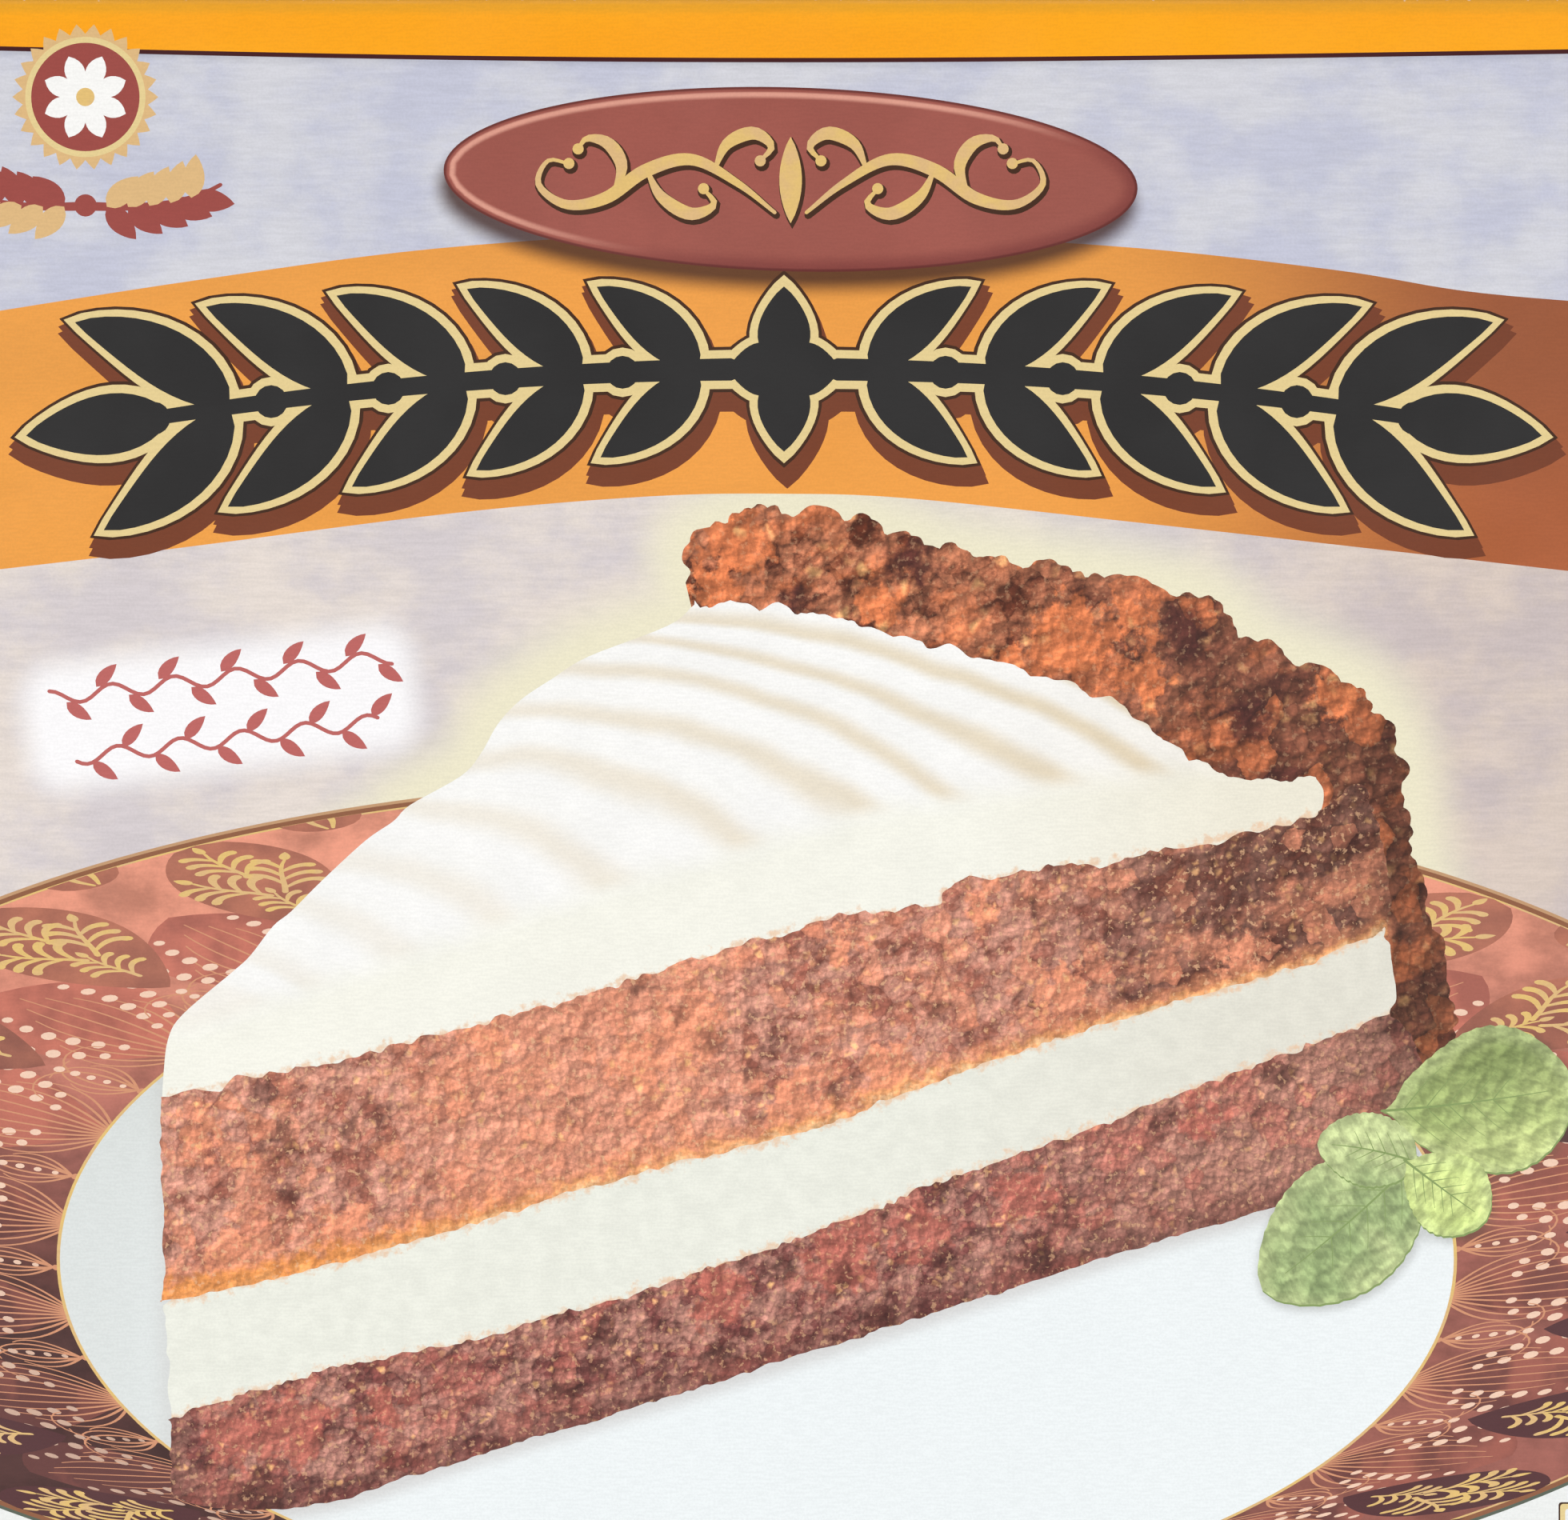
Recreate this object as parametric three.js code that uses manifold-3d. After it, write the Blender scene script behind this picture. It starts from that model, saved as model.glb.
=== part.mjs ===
// A shut folding carton for a frozen ten-inch cake, lying flat with its printed panel up.
// Millimetres, +Z up. The origin is the middle of the base, and +Y points to the lid's hinge fold.
// The carton is one blank of paperboard, folded and glued: a tray, and a lid hinged at the back whose
// front and side flaps are glued outside the tray's walls. Shut, it can't be seen into, so it is one solid.

import * as THREE from "three";
import { mergeVertices } from "three/addons/utils/BufferGeometryUtils.js";
import Module from "manifold-3d";

const wasm = await Module();
wasm.setup();

// Driving dimensions of the carton, in millimetres
const cakeDiameter = 254;
const cakeClearance = 8.8; // room for a hand liner around the cake, on the width and on the depth
const height = 84;
const board = 0.6; // thickness of the paperboard
const foldRadius = 1.6; // outside of a creased fold
const cornerRadius = 2; // outside of the upright folds at the four corners
const flapDrop = 58; // how far the lid's flaps reach down the walls
const flapCornerRadius = 9;
const flapTaper = 2.4; // a flap narrows by this much at each end towards its free edge
const flapEndGap = 1.2; // from a flap's end to the outside of the carton
const notchRadius = 9; // thumb notch in the free edge of the front flap
const lidSag = 1.6; // the large top panel hangs by this much at its middle

// Worked out from them
const width = cakeDiameter + cakeClearance + 2 * board;
const depth = cakeDiameter + cakeClearance + 2 * board;
const flapFoot = height - flapDrop; // height of the flaps' free edges above the table
const cutMargin = 5; // how far a cutting shape stands out past what it cuts

// Steps of the round stretches
const cornerSteps = 4; // a quarter turn of an upright corner
const foldSteps = 4; // a quarter turn of a top or bottom fold
const capRings = 7; // rings across the top panel, which carry its sag
const flapArcSteps = 8;
const notchSteps = 16;

// One closed ring of points around a rectangle with round corners, at height z.
function roundedRing(halfWidth, halfDepth, radius, z) {
  const points = [];
  const centres = [
    [halfWidth - radius, halfDepth - radius, 0],
    [-halfWidth + radius, halfDepth - radius, 90],
    [-halfWidth + radius, -halfDepth + radius, 180],
    [halfWidth - radius, -halfDepth + radius, 270],
  ];
  for (const [cx, cy, startDegrees] of centres) {
    for (let step = 0; step <= cornerSteps; step += 1) {
      const angle = THREE.MathUtils.degToRad(startDegrees + (90 * step) / cornerSteps);
      points.push(new THREE.Vector3(cx + radius * Math.cos(angle), cy + radius * Math.sin(angle), z));
    }
  }
  return points;
}

// A closed block whose rings are stacked from the middle of its base to the middle of its top.
function blockFromRings(rings, baseZ, topZ) {
  const perRing = rings[0].length;
  const positions = [0, 0, baseZ];
  for (const ring of rings) {
    for (const p of ring) positions.push(p.x, p.y, p.z);
  }
  positions.push(0, 0, topZ);
  const last = rings.length - 1;
  const top = 1 + rings.length * perRing;
  const at = (ring, k) => 1 + ring * perRing + (k % perRing);
  const faces = [];
  for (let k = 0; k < perRing; k += 1) {
    faces.push(0, at(0, k + 1), at(0, k));
    for (let ring = 0; ring < last; ring += 1) {
      faces.push(at(ring, k), at(ring, k + 1), at(ring + 1, k + 1));
      faces.push(at(ring, k), at(ring + 1, k + 1), at(ring + 1, k));
    }
    faces.push(at(last, k), at(last, k + 1), top);
  }
  const geometry = new THREE.BufferGeometry();
  geometry.setAttribute("position", new THREE.Float32BufferAttribute(positions, 3));
  geometry.setIndex(faces);
  return geometry;
}

// How far the top panel hangs at a share of the way from its middle (0) to its folds (1).
function sagAt(share) {
  return lidSag * (1 - share * share) ** 2;
}

// A block with rounded folds and a hanging top panel. Its walls and top stand in by inset.
function cartonBlock(inset) {
  const halfWidth = width / 2 - inset;
  const halfDepth = depth / 2 - inset;
  const top = height - inset;
  const rings = [];
  const addFoldRing = (pull, z) => {
    rings.push(roundedRing(halfWidth - pull, halfDepth - pull, cornerRadius - pull, z));
  };
  for (let step = 0; step <= foldSteps; step += 1) {
    const angle = (Math.PI / 2) * (step / foldSteps);
    addFoldRing(foldRadius * (1 - Math.sin(angle)), foldRadius * (1 - Math.cos(angle)));
  }
  for (let step = 0; step <= foldSteps; step += 1) {
    const angle = (Math.PI / 2) * (step / foldSteps);
    addFoldRing(foldRadius * (1 - Math.cos(angle)), top - foldRadius * (1 - Math.sin(angle)));
  }
  for (let ring = 1; ring < capRings; ring += 1) {
    const share = 1 - ring / capRings;
    const radius = (cornerRadius - foldRadius) * share;
    const panelHalfWidth = (halfWidth - foldRadius) * share;
    const panelHalfDepth = (halfDepth - foldRadius) * share;
    rings.push(roundedRing(panelHalfWidth, panelHalfDepth, radius, top - sagAt(share)));
  }
  return blockFromRings(rings, 0, top - sagAt(0));
}

// The outline of a flap in the plane of its wall: along the wall, and up from the table.
function flapOutline(wallLength, notch) {
  const half = wallLength / 2 - flapEndGap;
  const foot = half - flapTaper;
  const arcMiddle = foot - flapCornerRadius;
  const arcHeight = flapFoot + flapCornerRadius;
  const outline = new THREE.Shape();
  outline.moveTo(half, height + cutMargin);
  outline.lineTo(half, height - foldRadius);
  outline.lineTo(foot, arcHeight);
  outline.absarc(arcMiddle, arcHeight, flapCornerRadius, 0, -Math.PI / 2, true);
  if (notch > 0) {
    outline.lineTo(notch, flapFoot);
    outline.absarc(0, flapFoot, notch, 0, Math.PI, false);
  }
  outline.lineTo(-arcMiddle, flapFoot);
  outline.absarc(-arcMiddle, arcHeight, flapCornerRadius, -Math.PI / 2, -Math.PI, true);
  outline.lineTo(-half, height - foldRadius);
  outline.lineTo(-half, height + cutMargin);
  outline.closePath();
  return outline;
}

// The space that one flap takes. It reaches one board into the tray, to fuse with it, and stands out
// past the wall. turn is the wall's bearing, with the front at 0.
function flapSpace(wallLength, wallDistance, turn, notch = 0) {
  const geometry = new THREE.ExtrudeGeometry(flapOutline(wallLength, notch), {
    depth: 2 * board + cutMargin,
    bevelEnabled: false,
    curveSegments: notch > 0 ? notchSteps : flapArcSteps,
  });
  geometry.rotateX(Math.PI / 2);
  geometry.translate(0, -(wallDistance - 2 * board), 0);
  geometry.rotateZ(turn);
  return geometry;
}

// A closed geometry as a solid that can be joined and cut.
function solidOf(geometry) {
  const bare = geometry.clone();
  bare.deleteAttribute("normal");
  bare.deleteAttribute("uv");
  const merged = mergeVertices(bare, 1e-4);
  return new wasm.Manifold(
    new wasm.Mesh({
      numProp: 3,
      vertProperties: new Float32Array(merged.attributes.position.array),
      triVerts: new Uint32Array(merged.index.array),
    }),
  );
}

function geometryOf(solid) {
  const mesh = solid.getMesh();
  const geometry = new THREE.BufferGeometry();
  geometry.setAttribute("position", new THREE.BufferAttribute(new Float32Array(mesh.vertProperties), 3));
  geometry.setIndex(new THREE.BufferAttribute(new Uint32Array(mesh.triVerts), 1));
  geometry.computeVertexNormals();
  return geometry;
}

// The lid: the outer form where the top panel, the back wall and each glued flap are.
function lidSolid() {
  const outer = solidOf(cartonBlock(0));
  const topSlab = new THREE.BoxGeometry(width + cutMargin, depth + cutMargin, cutMargin);
  topSlab.translate(0, 0, height - foldRadius - lidSag + cutMargin / 2);
  const backSlab = new THREE.BoxGeometry(width - 2 * flapEndGap, 2 * board + cutMargin, height);
  backSlab.translate(0, depth / 2 - board + cutMargin / 2, height / 2);
  return outer
    .intersect(solidOf(topSlab))
    .add(outer.intersect(solidOf(backSlab)))
    .add(outer.intersect(solidOf(flapSpace(width, depth / 2, 0, notchRadius))))
    .add(outer.intersect(solidOf(flapSpace(depth, width / 2, Math.PI / 2))))
    .add(outer.intersect(solidOf(flapSpace(depth, width / 2, -Math.PI / 2))));
}

const printedBoard = new THREE.MeshStandardMaterial({
  name: "printed_board",
  color: new THREE.Color().setRGB(206 / 255, 205 / 255, 214 / 255, THREE.SRGBColorSpace),
  roughness: 0.5,
  metalness: 0,
});

// The tray stands one board in from the lid's flaps, and the two are one glued body.
const traySolid = solidOf(cartonBlock(board));
const carton = new THREE.Mesh(geometryOf(traySolid.add(lidSolid())), printedBoard);
carton.name = "carton";

const object = new THREE.Group();
object.add(carton);

export default object;
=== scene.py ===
import math
import bpy
import numpy as np
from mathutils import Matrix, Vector
from mathutils.geometry import delaunay_2d_cdt


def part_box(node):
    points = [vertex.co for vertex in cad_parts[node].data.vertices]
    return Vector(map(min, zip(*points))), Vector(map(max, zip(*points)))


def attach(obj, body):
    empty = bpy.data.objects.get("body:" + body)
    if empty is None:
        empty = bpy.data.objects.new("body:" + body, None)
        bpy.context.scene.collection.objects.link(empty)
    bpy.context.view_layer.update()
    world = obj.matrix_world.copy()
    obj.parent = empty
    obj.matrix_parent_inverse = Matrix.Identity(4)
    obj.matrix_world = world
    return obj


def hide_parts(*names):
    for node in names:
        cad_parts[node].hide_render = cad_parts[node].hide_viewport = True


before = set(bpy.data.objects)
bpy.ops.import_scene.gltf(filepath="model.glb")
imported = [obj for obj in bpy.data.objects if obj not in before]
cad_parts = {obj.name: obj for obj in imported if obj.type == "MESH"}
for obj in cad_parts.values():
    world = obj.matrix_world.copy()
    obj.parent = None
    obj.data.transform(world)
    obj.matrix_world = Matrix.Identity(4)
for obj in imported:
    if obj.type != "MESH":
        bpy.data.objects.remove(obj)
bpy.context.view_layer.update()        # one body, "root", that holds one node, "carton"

# A shut, printed folding carton for a frozen cake, seen from straight above its main panel.
# The artwork is drawn in millimetres from the middle of each panel, and then folded with the board.

mm = 0.001
corner = np.array(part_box("carton")[1]) / mm      # the carton's upper corner, at its right and its back

carton = {
    "halfWidth": corner[0],      # of the whole, outside
    "halfDepth": corner[1],
    "height": corner[2],
    "board": 0.6,                # thickness of the paperboard
    "foldRadius": 1.6,
    "cornerRadius": 2.0,
    "lip": 1.6,                  # how far the lid's top piece runs down a wall before its flap starts
    "flapDrop": 58.0,
    "flapCorner": 9.0,
    "flapTaper": 2.4,
    "flapEndGap": 1.2,
    "notch": 9.0,
    "sag": 1.6,
}
flapTop = carton["height"] - carton["foldRadius"] - carton["lip"]
flapFoot = carton["height"] - carton["flapDrop"]
foldHalf = np.array([carton["halfWidth"], carton["halfDepth"]]) - carton["foldRadius"]   # to the fold lines
turnEnd = carton["foldRadius"] * math.pi / 2   # length of board in a fold


# Paths and outlines, in millimetres

def through(points, steps=8, closed=False):
    # A smooth path through a few points: each span is the cubic set by its ends and its neighbours.
    p = np.asarray(points, float)
    around = np.vstack([p[-1:], p, p[:2]]) if closed else np.vstack([2 * p[0] - p[1], p, 2 * p[-1] - p[-2]])
    a, b, c, d = (around[k:len(around) - 3 + k, None, :] for k in range(4))
    t = (np.arange(steps) / steps)[None, :, None]
    spans = 0.5 * (2 * b + (c - a) * t + (2 * a - 5 * b + 4 * c - d) * t**2 + (3 * b - a - 3 * c + d) * t**3)
    path = spans.reshape(-1, 2)
    return path if closed else np.vstack([path, p[-1]])


def lengthAlong(path):
    # The running length of a path at each of its points.
    return np.concatenate([[0.0], np.cumsum(np.hypot(*np.diff(path, axis=0).T))])


def walked(path, step):
    # The same path with its points spread evenly, about one step apart.
    run = lengthAlong(path)
    at = np.linspace(0, run[-1], max(2, int(run[-1] / step) + 1))
    return np.stack([np.interp(at, run, path[:, 0]), np.interp(at, run, path[:, 1])], 1)


def rough(path, step, size, grain, knob=0.0, knobLength=7.0, seed=1):
    # Each point moves along its normal by random heights that are joined every grain, and more gently
    # every few grains. Knobs add the rounded bumps of |sin|, whose size and spacing wander.
    path = walked(path, step)
    run = lengthAlong(path)
    rng = np.random.default_rng(seed)
    tangent = np.gradient(path, axis=0)
    tangent /= np.hypot(*tangent.T)[:, None]
    outward = np.stack([-tangent[:, 1], tangent[:, 0]], 1)
    heights = np.zeros(len(run))
    for stretch, share in ((1.0, 0.5), (2.3, 0.4), (5.2, 0.35)):
        knots = np.arange(0, run[-1] + grain * stretch, grain * stretch)
        heights += share * np.interp(run, knots, rng.normal(0, 1, len(knots)))
    phase = rng.uniform(0, 2 * math.pi)
    bumps = np.abs(np.sin(math.pi * run / knobLength + 1.6 * np.sin(run / (1.4 * knobLength) + phase))) - 0.4
    knots = np.arange(0, run[-1] + knobLength, knobLength)
    bumps *= np.interp(run, knots, rng.uniform(0.35, 1.6, len(knots)))
    return path + outward * (size * heights + knob * bumps)[:, None]


def ellipse(cx, cy, a, b, steps=96):
    # Middle and half axes, counter-clockwise from the right.
    turn = 2 * math.pi * np.arange(steps) / steps
    return np.stack([cx + a * np.cos(turn), cy + b * np.sin(turn)], 1)


def disc(cx, cy, radius, steps=96):
    return ellipse(cx, cy, radius, radius, steps)


def roundedBox(cx, cy, halfX, halfY, radius, steps=5):
    # A rectangle whose corners are quarter circles.
    turn = np.radians(np.linspace(0, 90, steps + 1))
    corners = []
    for k, (sx, sy) in enumerate(((1, 1), (-1, 1), (-1, -1), (1, -1))):
        angle = turn + k * math.pi / 2
        mx, my = cx + sx * (halfX - radius), cy + sy * (halfY - radius)
        corners.append(np.stack([mx + radius * np.cos(angle), my + radius * np.sin(angle)], 1))
    outline = np.vstack(corners)
    return outline[np.hypot(*(outline - np.roll(outline, 1, axis=0)).T) > 1e-6]


def curl(start, heading, length, bendStart=0.0, bendEnd=0.0, steps=14):
    # A scroll line: it sets out at a heading in degrees, and its bend, in radians a millimetre,
    # changes evenly along it.
    t = np.linspace(0, 1, steps)
    angle = math.radians(heading) + length * (bendStart * t + (bendEnd - bendStart) * t**2 / 2)
    middle = (angle[1:] + angle[:-1]) / 2
    step = length / (steps - 1)
    x = start[0] + step * np.concatenate([[0.0], np.cumsum(np.cos(middle))])
    y = start[1] + step * np.concatenate([[0.0], np.cumsum(np.sin(middle))])
    return np.stack([x, y], 1)


def stroke(path, halfWidth, grow=0.0, capSteps=4):
    # The outline of a line whose half width may vary along it, with round ends. grow widens it all round.
    half = np.broadcast_to(halfWidth, len(path)) + grow
    tangent = np.gradient(path, axis=0)
    tangent /= np.hypot(*tangent.T)[:, None]
    normal = np.stack([-tangent[:, 1], tangent[:, 0]], 1)
    turn = np.radians(np.linspace(90, -90, capSteps + 2))[1:-1, None]
    endCap = path[-1] + half[-1] * (np.sin(turn) * normal[-1] + np.cos(turn) * tangent[-1])
    startCap = path[0] - half[0] * (np.sin(turn) * normal[0] + np.cos(turn) * tangent[0])
    left, right = path + normal * half[:, None], path - normal * half[:, None]
    return np.vstack([left, endCap, right[::-1], startCap])


def petal(start, heading, length, halfWidth, bend=0.0, grow=0.0, steps=14, fullest=0.42):
    # A leaf: a line that bends evenly, with a half width that swells from its foot and runs to a point.
    # grow widens it all round, and more at its two points, so that they stay sharp.
    past = 1.4 * grow
    way = math.radians(heading)
    foot = (start[0] - past * math.cos(way), start[1] - past * math.sin(way))
    path = curl(foot, heading - math.degrees(bend * past), length + 2 * past, bend, bend, steps)
    t = np.linspace(0, 1, steps) ** (math.log(0.5) / math.log(fullest))
    return stroke(path, (halfWidth + grow) * np.sin(math.pi * t) ** 0.8 + 0.02, 0, 3)


def shifted(outline, dx, dy):
    return outline + np.array([dx, dy])


def turned(outline, degrees, around=(0.0, 0.0)):
    # The outline turned counter-clockwise.
    c, s = math.cos(math.radians(degrees)), math.sin(math.radians(degrees))
    return (outline - around) @ np.array([[c, s], [-s, c]]) + around


def split(path, longest, closed):
    # The same path with each stretch cut into equal pieces that are no longer than longest.
    ends = np.roll(path, -1, axis=0) if closed else path[1:]
    starts = path[: len(ends)]
    pieces = np.maximum(np.ceil(np.hypot(*(ends - starts).T) / longest).astype(int), 1)
    which = np.repeat(np.arange(len(ends)), pieces)
    along = (np.arange(len(which)) - np.repeat(np.cumsum(pieces) - pieces, pieces)) / pieces[which]
    cut = starts[which] + along[:, None] * (ends - starts)[which]
    return cut if closed else np.vstack([cut, path[-1:]])


def distanceTo(points, path, closed=False):
    # The least distance from each point to the straight stretches of a path.
    ends = np.roll(path, -1, axis=0) if closed else path[1:]
    least = np.full(len(points), np.inf)
    for a, b in zip(path, ends):
        along = b - a
        t = np.clip((points - a) @ along / max(along @ along, 1e-12), 0, 1)
        least = np.minimum(least, np.hypot(*(points - a - t[:, None] * along).T))
    return least


def isInside(points, outline):
    # A point is inside where the outline winds round it: its edges cross the point's level upwards
    # and downwards an unequal number of times on its right.
    found = np.zeros(len(points), bool)
    near = np.flatnonzero(((points >= outline.min(0)) & (points <= outline.max(0))).all(1))
    if len(near):
        x, y = points[near, 0][:, None], points[near, 1][:, None]
        x0, y0 = outline.T
        x1, y1 = np.roll(outline, -1, axis=0).T
        side = (x1 - x0) * (y - y0) - (x - x0) * (y1 - y0)
        winding = ((y0 <= y) & (y1 > y) & (side > 0)).sum(1) - ((y0 > y) & (y1 <= y) & (side < 0)).sum(1)
        found[near] = winding != 0
    return found


def closeness(points, outline, reach):
    # How deep a point lies within reach of an outline: reach on it, more inside it, and 0 far away.
    apart = distanceTo(points, outline, closed=True)
    return np.maximum(reach + np.where(isInside(points, outline), apart, -apart), 0)


# Sheets of board with artwork on them

sheet = {
    "longestEdge": 3.0,          # of an outline or a crease, once it is cut into the sheet
    "backSpacing": 12.0,         # of the points on the raw back
    "sharpAngle": 50,            # degrees; a fold past this is an edge
    "frontShare": 0.93,          # of the baking map's width, the rest being the back
}


def triangulated(loops, lines, spots):
    # Triangles whose edges follow every closed loop and open line, with the loose spots among them.
    corners, edges, count = [], [], 0
    paths = [(split(loop, sheet["longestEdge"], True), True) for loop in loops]
    paths += [(line, False) for line in lines]
    for path, closed in paths:
        at = np.arange(count, count + len(path))
        ends = np.roll(at, -1)
        edges.append(np.stack([at, ends], 1)[: len(path) if closed else -1])
        corners.append(path)
        count += len(path)
    points = np.vstack(corners + [spots])
    made = delaunay_2d_cdt(list(map(Vector, points.tolist())), np.vstack(edges).tolist(), [], 0, 1e-3, False)
    return np.array([tuple(v) for v in made[0]]), np.array(made[2])


def staggered(outline, spacing):
    # Points in rows over a sheet, every second row moved by half a step.
    (x0, y0), (x1, y1) = outline.min(0), outline.max(0)
    rows = np.arange(y0 + spacing / 2, y1, spacing * 0.87)
    columns = np.arange(x0 + spacing / 2, x1, spacing)
    x = columns[None, :] + (np.arange(len(rows)) % 2)[:, None] * spacing / 2
    spots = np.stack([x.ravel(), np.repeat(rows, len(columns))], 1)
    spots = spots[isInside(spots, outline)]
    return spots[distanceTo(spots, outline, closed=True) > spacing * 0.3]


def foldedSheet(name, outline, layers, place, fields, spacing, creases=()):
    # One sheet of board. Its face is divided along the outlines of the artwork, and each triangle
    # takes the ink of the topmost layer over it. The raw back and the cut rim close the sheet.
    # place folds it: from points of the flat sheet, and a depth below its face, to points in space.
    lowest, highest = outline.min(0), outline.max(0)
    layers = [(inkName, shape) for inkName, shape in layers
              if (shape.max(0) > lowest).all() and (shape.min(0) < highest).all()]
    shapes = [shape for inkName, shape in layers]
    flat, faces = triangulated([outline] + shapes, creases, staggered(outline, spacing))
    faces = faces[isInside(flat[faces].mean(1), outline)]
    middles = flat[faces].mean(1)
    ink = np.zeros(len(faces), int)
    names = sorted({inkName for inkName, shape in layers})
    for inkName, shape in layers:
        ink[isInside(middles, shape)] = names.index(inkName)

    used, faces = np.unique(faces, return_inverse=True)
    flat, faces = flat[used], faces.reshape(-1, 3)
    edges = np.vstack([faces[:, [0, 1]], faces[:, [1, 2]], faces[:, [2, 0]]])
    known = set(map(tuple, edges.tolist()))
    rim = np.array([(a, b) for a, b in edges.tolist() if (b, a) not in known])
    rimPoints, rimEdges = np.unique(rim, return_inverse=True)
    rimEdges = rimEdges.reshape(-1, 2)

    inner = np.vstack([flat[rimPoints], staggered(outline, sheet["backSpacing"])])
    made = delaunay_2d_cdt(list(map(Vector, inner.tolist())), rimEdges.tolist(), [], 0, 1e-5, False)
    backFlat = np.array([tuple(v) for v in made[0]])
    backFaces = np.array(made[2])
    backFaces = backFaces[isInside(backFlat[backFaces].mean(1), outline)]

    first = len(flat)
    a, b = rim[:, 0], rim[:, 1]
    c, d = first + rimEdges[:, 0], first + rimEdges[:, 1]
    triangles = np.vstack([faces, first + backFaces[:, ::-1], np.stack([b, a, c], 1), np.stack([b, c, d], 1)])
    points = np.vstack([place(flat, 0.0), place(backFlat, carton["board"])]) * mm
    flatAll = np.vstack([flat, backFlat])

    mesh = bpy.data.meshes.new(name)
    mesh.vertices.add(len(points))
    mesh.vertices.foreach_set("co", points.ravel())
    mesh.loops.add(triangles.size)
    mesh.loops.foreach_set("vertex_index", triangles.ravel())
    mesh.polygons.add(len(triangles))
    mesh.polygons.foreach_set("loop_start", np.arange(len(triangles)) * 3)
    mesh.update(calc_edges=True)
    bare = np.full(len(triangles) - len(ink), len(names))
    artwork = addArtwork(mesh, names + ["rawBoard"], np.concatenate([ink, bare]), flatAll[triangles.ravel()])
    share = (flatAll - lowest) / (highest - lowest)
    baked = share[triangles.ravel()] * (sheet["frontShare"], 0.99) + 0.005
    onBack = np.repeat(np.arange(len(triangles)) >= len(ink), 3)
    baked[onBack, 0] = sheet["frontShare"] + 0.015 + share[triangles.ravel()][onBack, 0] * 0.05
    mesh.uv_layers.new(name="OFBake").uv.foreach_set("vector", baked.ravel())
    mesh.uv_layers.active = artwork
    for fieldName, field in fields.items():
        values = np.zeros(len(points), np.float32)
        values[:first] = field(flat)
        mesh.attributes.new(fieldName, "FLOAT", "POINT").data.foreach_set("value", values)
    boardPiece(name, mesh)


def addArtwork(mesh, names, slots, flat):
    # The inks, the slot of every face, and the place of every face corner on the flat artwork.
    for inkName in names:
        mesh.materials.append(inks[inkName])
    mesh.polygons.foreach_set("material_index", slots)
    artwork = mesh.uv_layers.new(name="artwork")
    artwork.uv.foreach_set("vector", flat.ravel())
    return artwork


def boardPiece(name, mesh):
    # Smooth faces with crisp folds, in place of the carton's solid.
    mesh.polygons.foreach_set("use_smooth", np.ones(len(mesh.polygons), bool))
    mesh.set_sharp_from_angle(angle=math.radians(sheet["sharpAngle"]))
    piece = added(name, mesh)
    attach(piece, "root")
    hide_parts("carton")
    print(name, len(mesh.polygons), "faces")


def added(name, data):
    # A new object in the scene that shows the data.
    thing = bpy.data.objects.new(name, data)
    bpy.context.collection.objects.link(thing)
    return thing


def inked(ink, shapes):
    # One layer of the ink for each shape.
    return [(ink, shape) for shape in shapes]


# Colours and nodes

def paint(red, green, blue):
    # A printed colour as a picture shows it, from 0 to 255, as linear light less the varnish's haze.
    c = np.array([red, green, blue]) / 255
    linear = np.where(c <= 0.04045, c / 12.92, ((c + 0.055) / 1.055) ** 2.4)
    return (*((linear - finish["haze"]).clip(0.001) / (1 - finish["haze"])).tolist(), 1.0)


def printed(name):
    # One of the print's own colours.
    return paint(*colours[name])


def addNode(tree, kind, settings=None, inputs=None):
    # A node with its settings. Each input is a value, or another node's output to link.
    node = tree.nodes.new(kind)
    for key, value in (settings or {}).items():
        setattr(node, key, value)
    for key, value in (inputs or {}).items():
        if isinstance(value, bpy.types.NodeSocket):
            tree.links.new(value, node.inputs[key])
        else:
            node.inputs[key].default_value = value
    return node


def calc(tree, operation, a, b=0.0):
    return addNode(tree, "ShaderNodeMath", {"operation": operation}, {0: a, 1: b}).outputs[0]


def times(tree, a, b):
    return calc(tree, "MULTIPLY", a, b)


def plus(tree, a, b):
    return calc(tree, "ADD", a, b)


def minus(tree, a, b):
    return calc(tree, "SUBTRACT", a, b)


def fade(tree, value, start, end, low=0.0, high=1.0):
    # low where the value is at start, high where it is at end, and a smooth change between.
    kind = {"interpolation_type": "SMOOTHSTEP"}
    ends = {"Value": value, "From Min": start, "From Max": end, "To Min": low, "To Max": high}
    return addNode(tree, "ShaderNodeMapRange", kind, ends).outputs[0]


def mixed(tree, amount, first, second, way="MIX"):
    kind = {"data_type": "RGBA", "blend_type": way}
    return addNode(tree, "ShaderNodeMix", kind, {0: amount, 6: first, 7: second}).outputs[2]


def tinted(tree, amount, colour, tone, way="MIX"):
    # The colour with a tone laid over it, which is a name in colours or its own red, green and blue.
    return mixed(tree, amount, colour, paint(*colours.get(tone, tone)), way)


def shaded(tree, colour, *factors):
    # The colour times each factor in turn.
    for factor in factors:
        colour = mixed(tree, 1.0, colour, factor, "MULTIPLY")
    return colour


def spans(tree, *ranges):
    # The product of several fades. Each is given by its value, start and end, and maybe its low and high.
    product, *others = (fade(tree, *part) for part in ranges)
    for other in others:
        product = times(tree, product, other)
    return product


def fieldOf(tree, name):
    # A value that the sheet's points carry, or 0 on a sheet without it.
    return addNode(tree, "ShaderNodeAttribute", {"attribute_name": name}).outputs["Fac"]


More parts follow.
